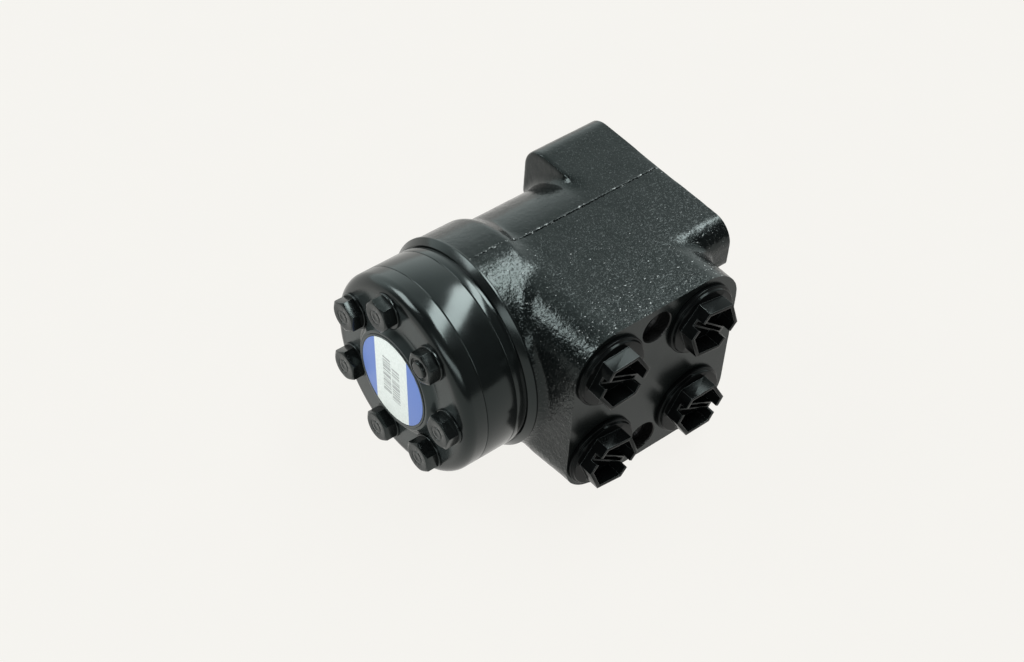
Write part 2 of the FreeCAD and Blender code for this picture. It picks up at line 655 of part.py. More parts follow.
# ---------------------------------------------------------------- cardan shaft
# built along -X from the fork centre, then tilted so that its axis meets the rotor centre
mid = (-125.69 - 110.91) / 2
reach = Vector(mid + VAL["pin_at"], centre.y, centre.z)
tilt_axis = Vector(0, -centre.z, centre.y)
tilt = math.degrees(math.atan2(math.hypot(centre.y, centre.z), -reach.x))
TILT = Rotation(Vector(-1, 0, 0), reach)
PINC = Vector(-VAL["pin_at"], 0, 0)
length_on = reach.Length
card_turn = turned("cardan_turned", [
    (7.0, 0.0), (7.0, 6.9), (5.6, 8.2), (-7.5, 8.2), (-10.5, 5.9), (-length_on + 7.4, 5.9),
    (-length_on + 6.2, 7.4), (-length_on - 4.2, 7.4), (-length_on - 5.0, 6.6), (-length_on - 5.0, 0.0)])
teeth = []
for k in range(12):
    a = 30.0 * k + math.degrees(a0)
    s_, c = math.sin(math.radians(a)), math.cos(math.radians(a))
    teeth.append(prim("Part::Box", Rotation(Vector(1, 0, 0), a),
                      (-length_on - 4.2, 6.5 * c + 0.85 * s_, 6.5 * s_ - 0.85 * c), Length=9.4, Width=2.85, Height=1.7))
card_solid = fuse("cardan_solid", [card_turn] + teeth)
slot = prim("Part::Box", ALONG_Z, (-4.4, -12.0, -4.42), Length=14.0, Width=24.0, Height=8.84)
card_cut = cut("cardan_straight", card_solid, [slot])
doc.recompute()
cardan = doc.addObject("Part::Feature", "cardan_shaft")
cardan.Label = "cardan_shaft"
shape = card_cut.Shape.copy()
cardan.Shape = shape
cardan.Placement = Placement(PINC, TILT)
NODES["cardan_shaft"] = cardan
spacer = cyl_x(-125.6, 1.75, 7.4, centre.y, centre.z)
spacer.Label = "cardan_spacer"
NODES["cardan_spacer"] = spacer

# ---------------------------------------------------------------- distributor plate and O-rings
plate_turn = turned("distributor_turned", [
    (-d("joint_two"), 10.6), (-d("joint_one"), 10.6), (-d("joint_one"), d("gear_rad") - d("seam_chamfer")),
    (-d("joint_one") - d("seam_chamfer"), d("gear_rad")), (-d("joint_two") + d("seam_chamfer"), d("gear_rad")),
    (-d("joint_two"), d("gear_rad") - d("seam_chamfer"))])
dt = []
for k in range(7):
    y, z = on_circle(k, d("bolt_circle"))
    dt.append(cyl_x(-d("joint_two") - 0.5, 5.0, d("bolt_hole"), y, z))
    a = angle_of(k) + math.pi / 7
    dt.append(cyl_x(-d("joint_two") - 0.5, 5.0, 2.2, 25.2 * math.cos(a), 25.2 * math.sin(a)))
NODES["distributor_plate"] = cut("distributor_plate", plate_turn, dt)
NODES["housing_o_ring"] = torus("housing_o_ring", -d("joint_one") + 0.71, 39.1, 0.7)
NODES["gear_ring_front_o_ring"] = torus("gear_ring_front_o_ring", -d("joint_two") - 0.71, 39.1, 0.7)
NODES["gear_ring_rear_o_ring"] = torus("gear_ring_rear_o_ring", -d("joint_three") + 0.71, 39.1, 0.7)

# ---------------------------------------------------------------- end cover
cover = turned("end_cover_turned", [
    (-d("joint_three"), 0.0), (-d("joint_three"), d("gear_rad") - d("seam_chamfer")),
    (-d("joint_three") - d("seam_chamfer"), d("gear_rad")), (-d("cover_face"), d("gear_rad")),
    (-d("cover_face"), 26.0), (-d("boss_face"), 22.6), (-d("boss_face"), d("plate_rad") + 0.05),
    (-d("boss_face") + 0.25, d("plate_rad") + 0.05), (-d("boss_face") + 0.25, 0.0)])
tip = cover.Tip


def ring_edge(e, x, r, tol=0.02):
    return (hasattr(e.Curve, "Radius") and abs(e.Curve.Radius - r) < tol and abs(e.BoundBox.XMin - x) < tol
            and e.BoundBox.XLength < tol)


f = fillet(cover, "cover_edge_round", tip, 6.0, lambda e: ring_edge(e, -VAL["cover_face"], 45.0))
f = fillet(cover, "cover_boss_foot", f, 3.0, lambda e: ring_edge(e, -VAL["cover_face"], 26.0))
f = fillet(cover, "cover_boss_top", f, 0.8, lambda e: ring_edge(e, -VAL["boss_face"], 22.6))
ct = []
for k in range(7):
    y, z = on_circle(k, d("bolt_circle"))
    ct.append(cyl_x(-d("cover_face") - 4.0, d("cover_face") - d("joint_three") + 5.0, d("bolt_hole"), y, z))
    ct.append(cyl_x(-d("cover_face") - 5.0, 5.0, 8.3, y, z))     # spot face
NODES["end_cover"] = cut("end_cover", cover, ct)
NODES["name_disc"] = turned("name_disc", [
    (-d("boss_face") + 0.25, 0.0), (-d("boss_face") + 0.25, d("plate_rad")), (-d("boss_face") - 0.35, d("plate_rad")),
    (-d("boss_face") - 0.35, d("plate_rad") - 0.7), (-d("boss_face") - 0.1, d("plate_rad") - 0.9),
    (-d("boss_face") - 0.1, 0.0)])

# ---------------------------------------------------------------- cover screws and washers
washers, screws = [], []
special = None
for k in range(7):
    y, z = on_circle(k, d("bolt_circle"))
    disc = cyl_x(-d("cover_face") - d("washer_thick"), d("washer_thick"), d("washer_rad"), y, z)
    hole = cyl_x(-d("cover_face") - d("washer_thick") - 0.5, d("washer_thick") + 1.0, 4.1, y, z)
    washers.append(cut("washer_%d" % k, disc, [hole]))
    under = -d("cover_face") - d("washer_thick")
    head_len = d("head_top") - d("cover_face") - d("washer_thick")
    top = -d("head_top") if k != SPECIAL else -d("head_top") + 0.5
    h_len = head_len if k != SPECIAL else head_len - 0.5
    turn = Rotation(Vector(1, 0, 0), 90.0 + [5.0, 29.0, 27.0, 25.0, 24.0, 44.0, 33.0][k])
    hexa = prim("Part::Prism", turn.multiply(ALONG_X), (top, y, z), Polygon=6,
                Circumradius=d("head_across") * (0.5 / math.cos(math.radians(30))), Height=h_len)
    cone = prim("Part::Cone", ALONG_X, (top, y, z), Radius1=d("head_across") * 0.475, Radius2=d("head_across") * 0.475 + h_len * 1.9,
                Height=h_len)
    head = doc.addObject("Part::Common", "screw_head_%d" % k)
    head.Base, head.Tool = hexa, cone
    if k == SPECIAL:
        shank = cyl_x(under, d("cover_face") + d("washer_thick") - d("joint_one") + 9.7, d("bolt_rad"), y, z)
        dome = prim("Part::Cone", ALONG_X, (-d("head_top") - 0.5, y, z), Radius1=3.9, Radius2=4.7, Height=1.1)
        whole = fuse("special_screw_solid", [head, shank, dome])
        pin_hole = cyl_x(-d("joint_one") + 5.0, 6.0, 1.52, y, z)
        special = cut("special_screw", whole, [pin_hole])
        tube = cyl_x(-d("joint_one") + 5.2, 6.85, 1.5, y, z)
        core = cyl_x(-d("joint_one") + 4.0, 9.0, 0.8, y, z)
        slit = prim("Part::Box", ALONG_Z, (-d("joint_one") + 4.0, y - 0.15, z), Length=9.0, Width=0.3, Height=3.0)
        rolled = cut("rolled_pin", tube, [core, slit])
        bush = cyl_x(-d("joint_one") + 0.3, 10.0, 4.98, y, z)
        bush_hole = cyl_x(-d("joint_one"), 12.0, 4.03, y, z)
        NODES["thread_bushing"] = cut("thread_bushing", bush, [bush_hole])
        ball = prim("Part::Sphere", Rotation(), (-d("joint_one") + 18.43, y, z), Radius=4.25)
        ball.Label = "check_ball"
        NODES["check_ball"] = ball
    else:
        shank = cyl_x(under, d("cover_face") + d("washer_thick") - d("joint_one") + d("bolt_tap_depth") - 1.5, d("bolt_rad"), y, z)
        screws.append(fuse("cover_screw_%d" % k, [head, shank]))
NODES["special_screw"] = special
NODES["rolled_pin"] = rolled
NODES["cover_screws"] = group("cover_screws", screws)
NODES["cover_screw_washers"] = group("cover_screw_washers", washers)

# ---------------------------------------------------------------- port plugs
orings = []
for (px, pz), turn, tag in zip(PORTS, PLUG_TURN, ("a", "b", "c", "d")):
    face = -d("port_face")
    base = cyl_y(face - 0.05, d("plug_base"), d("plug_base_rad"), px, pz)
    step = cyl_y(face - 0.05, d("plug_step") - 0.05, d("plug_step_rad"), px, pz)
    shank = cyl_y(face + 11.0, 11.2, d("plug_shank_rad"), px, pz)
    spin = Rotation(Vector(0, 1, 0), -(turn + 30.0))
    hexa = prim("Part::Prism", spin.multiply(ALONG_NY), (px, face - 1.0, pz), Polygon=6,
                Circumradius=d("plug_across") * (0.5 / math.cos(math.radians(30))), Height=d("plug_rim") - 1.0)
    solid = fuse("plug_solid_" + tag, [base, step, shank, hexa])
    hollow = prim("Part::Prism", spin.multiply(ALONG_NY), (px, face - 2.0, pz), Polygon=6,
                  Circumradius=(d("plug_across") - 2.0 * d("plug_wall")) * (0.5 / math.cos(math.radians(30))), Height=10.0)
    core = cyl_y(face + 12.0, 12.0 - 0.2, 7.8, px, pz)
    oneck = cut("plug_groove_" + tag, cyl_y(face + 2.2, 2.1, 11.0, px, pz), [cyl_y(face + 2.6, 2.9, 9.15, px, pz)])
    u = Vector(math.cos(math.radians(turn)), 0, math.sin(math.radians(turn)))
    v = Vector(-u.z, 0, u.x)
    # notch through two opposite flats, 3.4 wide, from the rim 3.6 deep
    r = Rotation(Vector(0, 1, 0), -turn)
    corner = Vector(px.val, -VAL["port_face"] - VAL["plug_rim"] - 1.0, pz.val) - u * 13.0 - v * 1.7
    notch = prim("Part::Box", r, (corner.x, corner.y, corner.z), Length=26.0, Width=4.6, Height=3.4)
    shell_ = cut("plug_cut_" + tag, solid, [hollow, core, notch, oneck])
    ribs = []
    for side in (-1.2, 1.2):
        c2 = Vector(px.val, -VAL["port_face"] - 6.3, pz.val) - u * 10.3 + v * (side - 0.35)
        ribs.append(prim("Part::Box", r, (c2.x, c2.y, c2.z), Length=20.6, Width=4.4, Height=0.7))
    plug = fuse("port_plug_" + tag, [shell_] + ribs)
    NODES["port_plug_" + tag] = plug
    t = prim("Part::Torus", ALONG_NY, (px, face + 1.15, pz), Radius1=d("plug_shank_rad") - 0.02, Radius2=1.0)
    orings.append(t)
NODES["plug_o_rings"] = group("plug_o_rings", orings)

# ---------------------------------------------------------------- recompute, check, write
doc.recompute()
bad = [o.Name for o in doc.Objects if "Invalid" in o.State or "Error" in o.State]
if bad:
    raise RuntimeError("objects in error: %s" % bad)
os.makedirs("parts", exist_ok=True)
for old in os.listdir("parts"):
    if old.endswith(".step"):
        os.remove(os.path.join("parts", old))
problems = []
for name, obj in NODES.items():
    obj.Label = name
    shape = obj.Shape
    if shape.isNull() or not shape.isValid() or not shape.Solids or shape.Volume <= 0:
        problems.append(name)
        continue
if problems:
    raise RuntimeError("bad shapes: %s" % problems)
for name, obj in NODES.items():
    shape = obj.Shape
    solids = shape.Solids
    out = solids[0] if len(solids) == 1 else Part.makeCompound(solids)
    out.exportStep(os.path.join("parts", name + ".step"))
    bb = shape.BoundBox
    print("%-24s solids %2d  volume %10.1f  x %.2f..%.2f y %.2f..%.2f z %.2f..%.2f" % (
        name, len(solids), shape.Volume, bb.XMin, bb.XMax, bb.YMin, bb.YMax, bb.ZMin, bb.ZMax))
print("nodes", len(NODES))
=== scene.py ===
import math

import bmesh
import bpy
import numpy as np
from mathutils import Matrix, Vector, noise


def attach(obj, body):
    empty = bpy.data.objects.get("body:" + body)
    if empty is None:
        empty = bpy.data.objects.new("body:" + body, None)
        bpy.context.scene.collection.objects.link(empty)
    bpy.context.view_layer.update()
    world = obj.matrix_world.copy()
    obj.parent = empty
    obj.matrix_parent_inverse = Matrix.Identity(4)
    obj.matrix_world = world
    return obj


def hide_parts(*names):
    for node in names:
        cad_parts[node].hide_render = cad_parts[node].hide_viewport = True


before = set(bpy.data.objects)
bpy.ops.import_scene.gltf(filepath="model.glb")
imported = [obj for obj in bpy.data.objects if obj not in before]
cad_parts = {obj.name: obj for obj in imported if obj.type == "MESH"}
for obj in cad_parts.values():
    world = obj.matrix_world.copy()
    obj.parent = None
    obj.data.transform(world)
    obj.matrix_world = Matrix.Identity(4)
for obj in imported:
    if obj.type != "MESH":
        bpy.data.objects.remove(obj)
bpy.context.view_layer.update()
MM = 0.001

# ------------------------------------------------------------------ sizes, in millimetres
J1, J2, J3 = -107.3, -110.86, -125.74          # joints of housing, plate, gear ring and cover
COVER, BOSS, TOP = -136.2, -139.5, -142.67     # bolt face, boss face, screw heads
PCD = 33.37
ANGLE0 = 76.352
SPECIAL = 6
PORT_X, PORT_H, FACE = -56.14, 24.2, -63.4
HEAD_TURN = [5.0, 29.0, 27.0, 25.0, 24.0, 44.0, 33.0]
PLUG_TURN = {"a": 152.5, "b": 139.8, "c": 142.2, "d": 150.4}
PLUG_AT = {"a": (-1, 1), "b": (1, 1), "c": (-1, -1), "d": (1, -1)}


def screw_at(k):
    a = math.radians(ANGLE0 - k * 360.0 / 7.0)
    return PCD * math.cos(a), PCD * math.sin(a)


# ------------------------------------------------------------------ node helpers
def new_material(name):
    m = bpy.data.materials.new(name)
    m.use_nodes = True
    nt = m.node_tree
    nt.nodes.clear()
    out = nt.nodes.new("ShaderNodeOutputMaterial")
    bsdf = nt.nodes.new("ShaderNodeBsdfPrincipled")
    nt.links.new(bsdf.outputs[0], out.inputs[0])
    return m, nt, bsdf


def coords(nt, scale=(1, 1, 1), turn=(0, 0, 0)):
    tc = nt.nodes.new("ShaderNodeTexCoord")
    mp = nt.nodes.new("ShaderNodeMapping")
    mp.inputs["Scale"].default_value = scale
    mp.inputs["Rotation"].default_value = turn
    nt.links.new(tc.outputs["Object"], mp.inputs[0])
    return mp.outputs[0]


def noise_node(nt, vec, scale, detail=2.0, rough=0.5, distort=0.0):
    n = nt.nodes.new("ShaderNodeTexNoise")
    n.inputs["Scale"].default_value = scale
    n.inputs["Detail"].default_value = detail
    n.inputs["Roughness"].default_value = rough
    n.inputs["Distortion"].default_value = distort
    nt.links.new(vec, n.inputs["Vector"])
    return n.outputs["Fac"]


def ramp(nt, fac, stops):
    r = nt.nodes.new("ShaderNodeValToRGB")
    els = r.color_ramp.elements
    while len(els) < len(stops):
        els.new(0.5)
    for e, (pos, col) in zip(els, stops):
        e.position = pos
        e.color = tuple(col) + (1.0,) if len(col) == 3 else col
    nt.links.new(fac, r.inputs[0])
    return r.outputs[0]


def grey(v):
    return (v, v, v)


def math_node(nt, op, a, b=None, c=None):
    n = nt.nodes.new("ShaderNodeMath")
    n.operation = op
    for i, v in enumerate((a, b, c)):
        if v is None:
            continue
        if isinstance(v, (int, float)):
            n.inputs[i].default_value = v
        else:
            nt.links.new(v, n.inputs[i])
    return n.outputs[0]


def bump(nt, height, distance, strength=1.0, normal=None):
    b = nt.nodes.new("ShaderNodeBump")
    b.inputs["Strength"].default_value = strength
    b.inputs["Distance"].default_value = distance
    nt.links.new(height, b.inputs["Height"])
    if normal is not None:
        nt.links.new(normal, b.inputs["Normal"])
    return b.outputs[0]


def mix_colour(nt, fac, a, b):
    m = nt.nodes.new("ShaderNodeMix")
    m.data_type = "RGBA"
    if isinstance(fac, (int, float)):
        m.inputs[0].default_value = fac
    else:
        nt.links.new(fac, m.inputs[0])
    for sock, v in ((m.inputs[6], a), (m.inputs[7], b)):
        if isinstance(v, tuple):
            sock.default_value = v + (1.0,)
        else:
            nt.links.new(v, sock)
    return m.outputs[2]


def separate(nt, vec):
    s = nt.nodes.new("ShaderNodeSeparateXYZ")
    nt.links.new(vec, s.inputs[0])
    return s.outputs


TINT = (0.85, 1.0, 0.985, 1.0)


def cast_material():
    """Black gloss paint over a rough sand casting."""
    m, nt, b = new_material("cast_paint_black")
    v = coords(nt)
    x, y, z = separate(nt, v)
    peel = noise_node(nt, v, 420.0, 2.0, 0.5, 0.3)
    grain = noise_node(nt, v, 950.0, 2.0, 0.5, 0.2)
    broad = noise_node(nt, v, 90.0, 2.0, 0.5)
    # the sand is coarser on the port side of the parting line
    side = nt.nodes.new("ShaderNodeMapRange")
    side.inputs["From Min"].default_value = 0.004
    side.inputs["From Max"].default_value = -0.030
    side.inputs["To Min"].default_value = 0.35
    side.inputs["To Max"].default_value = 1.0
    nt.links.new(y, side.inputs["Value"])
    # single sand grains stand out as small peaks
    peaks = ramp(nt, grain, [(0.57, grey(0.0)), (0.66, grey(0.45)), (0.74, grey(1.0))])
    h = math_node(nt, "MULTIPLY", peaks, side.outputs[0])
    h = math_node(nt, "MULTIPLY_ADD", h, 0.65, math_node(nt, "MULTIPLY", grain, 0.16))
    h = math_node(nt, "ADD", h, math_node(nt, "MULTIPLY", peel, math_node(nt, "MULTIPLY_ADD", side.outputs[0], 0.35, 0.5)))
    h = math_node(nt, "MULTIPLY_ADD", broad, 0.9, h)
    # the flowed paint over it: short sharp wrinkles where the wall turns
    wrinkle = math_node(nt, "ABSOLUTE", math_node(nt, "SUBTRACT", noise_node(nt, v, 300.0, 2.0, 0.55, 0.8), 0.5))
    turning = nt.nodes.new("ShaderNodeMapRange")
    turning.inputs["From Min"].default_value = -0.070
    turning.inputs["From Max"].default_value = -0.080
    turning.inputs["To Min"].default_value = 0.5
    turning.inputs["To Max"].default_value = 2.3
    nt.links.new(x, turning.inputs["Value"])
    wrinkle = math_node(nt, "MULTIPLY", math_node(nt, "MULTIPLY", wrinkle, side.outputs[0]), turning.outputs[0])
    h = math_node(nt, "ADD", wrinkle, h)
    # and small pits all over
    pits = ramp(nt, noise_node(nt, v, 1300.0, 1.0, 0.5), [(0.26, grey(0.0)), (0.38, grey(1.0))])
    h = math_node(nt, "MULTIPLY_ADD", pits, 0.30, h)
    nt.links.new(bump(nt, h, 0.00014, 1.0), b.inputs["Normal"])
    col = ramp(nt, broad, [(0.3, (0.0020, 0.0027, 0.0027)), (0.7, (0.0034, 0.0042, 0.0042))])
    # painted highlights: faint pale specks all over, standing in for small glints
    glint_specks = ramp(nt, noise_node(nt, v, 2300.0, 1.0, 0.5), [(0.70, grey(0.0)), (0.80, grey(1.0))])
    col = mix_colour(nt, math_node(nt, "MULTIPLY", glint_specks, 0.2), col, (0.06, 0.066, 0.066))
    # painted highlights: pale specks standing in for glints off the coarsest grains, most of them near the port face,
    # and along the parting line
    near_port = nt.nodes.new("ShaderNodeMapRange")
    near_port.inputs["From Min"].default_value = -0.004
    near_port.inputs["From Max"].default_value = -0.062
    near_port.inputs["To Min"].default_value = -0.060
    near_port.inputs["To Max"].default_value = 0.040
    nt.links.new(y, near_port.inputs["Value"])
    far_side = math_node(nt, "MULTIPLY", math_node(nt, "GREATER_THAN", y, 0.0012), -0.2)
    seam = math_node(nt, "LESS_THAN", math_node(nt, "ABSOLUTE", math_node(nt, "SUBTRACT", y, 0.0002)), 0.0007)
    painted_glints = noise_node(nt, coords(nt, (0.8, 1.25, 1.0)), 820.0, 1.0, 0.5)
    painted_glints = math_node(nt, "ADD", math_node(nt, "ADD", painted_glints, near_port.outputs[0]), far_side)
    painted_glints = math_node(nt, "MULTIPLY_ADD", seam, 0.17, painted_glints)
    painted_glints = ramp(nt, painted_glints, [(0.71, grey(0.0)), (0.77, grey(1.0))])
    # painted highlight: the glint specks fade below the top of the casting, where the overhead light falls less
    upward = nt.nodes.new("ShaderNodeMapRange")
    upward.inputs["From Min"].default_value = 0.030
    upward.inputs["From Max"].default_value = 0.040
    nt.links.new(z, upward.inputs["Value"])
    painted_glints = math_node(nt, "MULTIPLY", painted_glints, math_node(nt, "MULTIPLY_ADD", upward.outputs[0], 0.75, 0.15))
    col = mix_colour(nt, painted_glints, col, (0.26, 0.275, 0.27))
    nt.links.new(col, b.inputs["Base Color"])
    r = ramp(nt, peel, [(0.3, grey(0.13)), (0.7, grey(0.22))])
    nt.links.new(r, b.inputs["Roughness"])
    b.inputs["IOR"].default_value = 1.36
    b.inputs["Specular Tint"].default_value = TINT
    return m


def turned_material(name, axis, base, rough, rings=900.0, depth=0.000004, ior=1.42, tint=TINT, flat=None):
    """Satin black paint over a turned or ground surface: faint tool rings, soft cloudiness."""
    m, nt, b = new_material(name)
    v = coords(nt)
    x, y, z = separate(nt, v)
    cloud = noise_node(nt, v, 60.0, 3.0, 0.5)
    fine = noise_node(nt, v, 1800.0, 2.0, 0.6)
    wave = nt.nodes.new("ShaderNodeTexNoise")
    wave.noise_dimensions = "1D"
    wave.inputs["Scale"].default_value = rings * 2.0
    wave.inputs["Detail"].default_value = 2.0
    if axis == "x":
        nt.links.new(x, wave.inputs["W"])
    else:
        rad = math_node(nt, "SQRT", math_node(nt, "ADD", math_node(nt, "MULTIPLY", y, y), math_node(nt, "MULTIPLY", z, z)))
        nt.links.new(rad, wave.inputs["W"])
    h = math_node(nt, "MULTIPLY_ADD", fine, 0.5, wave.outputs["Fac"])
    n1 = bump(nt, h, depth * 0.6, 1.0)
    peel = noise_node(nt, v, 330.0, 2.0, 0.5)
    n2 = bump(nt, peel, 0.000010, 1.0, n1)
    nt.links.new(n2, b.inputs["Normal"])
    col = ramp(nt, cloud, [(0.3, tuple(c * 0.85 for c in base)), (0.7, tuple(c * 1.2 for c in base))])
    if flat is not None:
        # painted sheen: the plane face is made paler than the turned rounding round it, standing in for the reflection
        # it catches
        inner = nt.nodes.new("ShaderNodeMapRange")
        inner.inputs["From Min"].default_value = 0.0395
        inner.inputs["From Max"].default_value = 0.0375
        nt.links.new(rad, inner.inputs["Value"])
        col = mix_colour(nt, inner.outputs[0], col, flat)
    nt.links.new(col, b.inputs["Base Color"])
    r = ramp(nt, cloud, [(0.3, grey(rough - 0.04)), (0.7, grey(rough + 0.05))])
    nt.links.new(r, b.inputs["Roughness"])
    b.inputs["IOR"].default_value = ior
    b.inputs["Specular Tint"].default_value = tint
    return m


def screw_material():
    m, nt, b = new_material("screw_paint_black")
    v = coords(nt)
    forge = noise_node(nt, v, 500.0, 3.0, 0.55)
    fine = noise_node(nt, v, 1700.0, 2.0, 0.6)
    h = math_node(nt, "MULTIPLY_ADD", fine, 0.35, forge)
    nt.links.new(bump(nt, h, 0.000014, 1.0), b.inputs["Normal"])
    col = ramp(nt, forge, [(0.3, (0.0030, 0.0036, 0.0036)), (0.7, (0.0060, 0.0068, 0.0068))])
    nt.links.new(col, b.inputs["Base Color"])
    r = ramp(nt, forge, [(0.3, grey(0.17)), (0.7, grey(0.28))])
    nt.links.new(r, b.inputs["Roughness"])
    b.inputs["IOR"].default_value = 1.44
    b.inputs["Specular Tint"].default_value = TINT
    return m


def plastic_material(name, dark, light, ior, rough):
    """Moulded black plastic with a fine satin skin and faint flow marks."""
    m, nt, b = new_material(name)
    v = coords(nt)
    flow = noise_node(nt, coords(nt, (1.0, 0.3, 1.0)), 140.0, 3.0, 0.5, 0.6)
    skin = noise_node(nt, v, 2400.0, 2.0, 0.5)
    h = math_node(nt, "MULTIPLY_ADD", skin, 0.3, flow)
    nt.links.new(bump(nt, h, 0.00002, 1.0), b.inputs["Normal"])
    col = ramp(nt, flow, [(0.3, dark), (0.7, light)])
    nt.links.new(col, b.inputs["Base Color"])
    r = ramp(nt, flow, [(0.3, grey(rough)), (0.7, grey(rough + 0.10))])
    nt.links.new(r, b.inputs["Roughness"])
    b.inputs["IOR"].default_value = ior
    b.inputs["Specular Tint"].default_value = TINT
    return m


def rubber_material():
    m, nt, b = new_material("rubber_black")
    v = coords(nt)
    n = noise_node(nt, v, 900.0, 3.0, 0.6)
    nt.links.new(bump(nt, n, 0.00003, 1.0), b.inputs["Normal"])
    col = ramp(nt, n, [(0.3, (0.010, 0.010, 0.010)), (0.7, (0.020, 0.020, 0.021))])
    nt.links.new(col, b.inputs["Base Color"])
    b.inputs["Roughness"].default_value = 0.62
    return m


def steel_material(name, base, rough, stretch, scale=700.0):
    m, nt, b = new_material(name)
    v = coords(nt, stretch)
    n = noise_node(nt, v, scale, 3.0, 0.6)
    nt.links.new(bump(nt, n, 0.00001, 1.0), b.inputs["Normal"])
    col = ramp(nt, n, [(0.3, tuple(c * 0.85 for c in base)), (0.7, base)])
    nt.links.new(col, b.inputs["Base Color"])
    b.inputs["Metallic"].default_value = 1.0
    r = ramp(nt, n, [(0.3, grey(rough)), (0.7, grey(rough + 0.12))])
    nt.links.new(r, b.inputs["Roughness"])
    return m


def seal_material():
    m, nt, b = new_material("seal_bronze_ptfe")
    v = coords(nt)
    n = noise_node(nt, v, 1200.0, 3.0, 0.6)
    col = ramp(nt, n, [(0.35, (0.10, 0.075, 0.05)), (0.65, (0.17, 0.13, 0.09))])
    nt.links.new(col, b.inputs["Base Color"])
    nt.links.new(bump(nt, n, 0.00001, 1.0), b.inputs["Normal"])
    b.inputs["Roughness"].default_value = 0.55
    return m


def hole_material():
    """Tapped hole wall: bare dark iron with thread lines along the hole's axis."""
    m, nt, b = new_material("tapped_hole")
    v = coords(nt)
    x, y, z = separate(nt, v)
    w = math_node(nt, "SINE", math_node(nt, "MULTIPLY", math_node(nt, "ADD", x, y), 2 * math.pi / 0.0015))
    nt.links.new(bump(nt, w, 0.00003, 1.0), b.inputs["Normal"])
    n = noise_node(nt, v, 800.0, 2.0, 0.5)
    col = ramp(nt, n, [(0.3, (0.003, 0.003, 0.003)), (0.7, (0.007, 0.007, 0.007))])
    nt.links.new(col, b.inputs["Base Color"])
    b.inputs["Roughness"].default_value = 0.35
    b.inputs["IOR"].default_value = 1.38
    return m


def disc_material():
    """Pale printed disc with two blue bands and rows of plain bars, no lettering."""
    m, nt, b = new_material("name_disc_print")
    turn = math.radians(4.7)
    v = coords(nt)
    x, y, z = separate(nt, v)
    # across the bands, and along them
    u = math_node(nt, "SUBTRACT", math_node(nt, "MULTIPLY", y, math.cos(turn)), math_node(nt, "MULTIPLY", z, math.sin(turn)))
    w = math_node(nt, "ADD", math_node(nt, "MULTIPLY", y, math.sin(turn)), math_node(nt, "MULTIPLY", z, math.cos(turn)))

    def between(s, lo, hi):
        return math_node(nt, "MULTIPLY", math_node(nt, "GREATER_THAN", s, lo), math_node(nt, "LESS_THAN", s, hi))

    left = math_node(nt, "GREATER_THAN", u, 0.0112)
    right = math_node(nt, "LESS_THAN", u, -0.0103)
    blue = math_node(nt, "MAXIMUM", left, right)
    bars = nt.nodes.new("ShaderNodeTexNoise")
    bars.noise_dimensions = "1D"
    bars.inputs["Scale"].default_value = 1350.0
    bars.inputs["Detail"].default_value = 0.0
    nt.links.new(w, bars.inputs["W"])
    bars2 = nt.nodes.new("ShaderNodeTexNoise")
    bars2.noise_dimensions = "1D"
    bars2.inputs["Scale"].default_value = 1500.0
    bars2.inputs["Detail"].default_value = 0.0
    nt.links.new(math_node(nt, "ADD", w, 0.4), bars2.inputs["W"])
    col1 = math_node(nt, "MULTIPLY", between(u, 0.0008, 0.0060), math_node(nt, "GREATER_THAN", bars.outputs["Fac"], 0.50))
    col1 = math_node(nt, "MULTIPLY", col1, between(w, -0.0085, 0.0105))
    col2 = math_node(nt, "MULTIPLY", between(u, -0.0050, 0.0001), math_node(nt, "GREATER_THAN", bars2.outputs["Fac"], 0.50))
    col2 = math_node(nt, "MULTIPLY", col2, between(w, -0.0105, 0.0075))
    ink = math_node(nt, "MAXIMUM", col1, col2)
    paper = ramp(nt, noise_node(nt, v, 900.0, 3.0, 0.6), [(0.3, (0.68, 0.735, 0.71)), (0.7, (0.80, 0.855, 0.83))])
    base = mix_colour(nt, blue, paper, (0.115, 0.205, 0.545))
    base = mix_colour(nt, math_node(nt, "MULTIPLY", ink, 0.72), base, (0.10, 0.11, 0.12))
    nt.links.new(base, b.inputs["Base Color"])
    nt.links.new(bump(nt, noise_node(nt, v, 1500.0, 2.0, 0.5), 0.000006, 1.0), b.inputs["Normal"])
    b.inputs["Roughness"].default_value = 0.38
    return m


MAT_CAST = cast_material()
MAT_FACE = turned_material("machined_face_paint", "x", (0.0034, 0.0042, 0.0041), 0.22, 300.0, 0.000001, 1.32, (0.80, 1.0, 0.99, 1.0))
MAT_RING = turned_material("turned_paint_ring", "x", (0.0036, 0.0044, 0.0044), 0.17)
# the cover's plane face gets a paler colour as painted sheen
MAT_COVER = turned_material("turned_paint_cover", "r", (0.0040, 0.0048, 0.0048), 0.19, 700.0, 0.000002, flat=(0.022, 0.027, 0.027))
MAT_SCREW = screw_material()
MAT_WASHER = turned_material("washer_paint", "r", (0.0036, 0.0042, 0.0042), 0.20)
MAT_PLUG = plastic_material("plug_plastic_black", (0.0018, 0.0021, 0.0022), (0.0036, 0.0040, 0.0041), 1.17, 0.12)
# painted highlight: lighter rim plastic for the bevelled edges of the plugs, standing in for their edge highlights
MAT_RIM_PAINTED_HIGHLIGHT = plastic_material("plug_plastic_rim_painted_highlight", (0.016, 0.018, 0.018), (0.030, 0.033, 0.033), 1.50, 0.22)
MAT_RUBBER = rubber_material()
MAT_HOLE = hole_material()
MAT_DISC = disc_material()
MAT_SEAL = seal_material()
MAT_BEARING = steel_material("bearing_steel", (0.66, 0.66, 0.66), 0.12, (1, 1, 1))
MAT_GROUND = steel_material("ground_steel", (0.48, 0.48, 0.49), 0.24, (0.12, 1, 1))
MAT_SPRING = steel_material("spring_steel", (0.26, 0.27, 0.31), 0.30, (1, 1, 0.2))
MAT_TURNED = steel_material("turned_steel", (0.46, 0.45, 0.43), 0.32, (1, 1, 1))


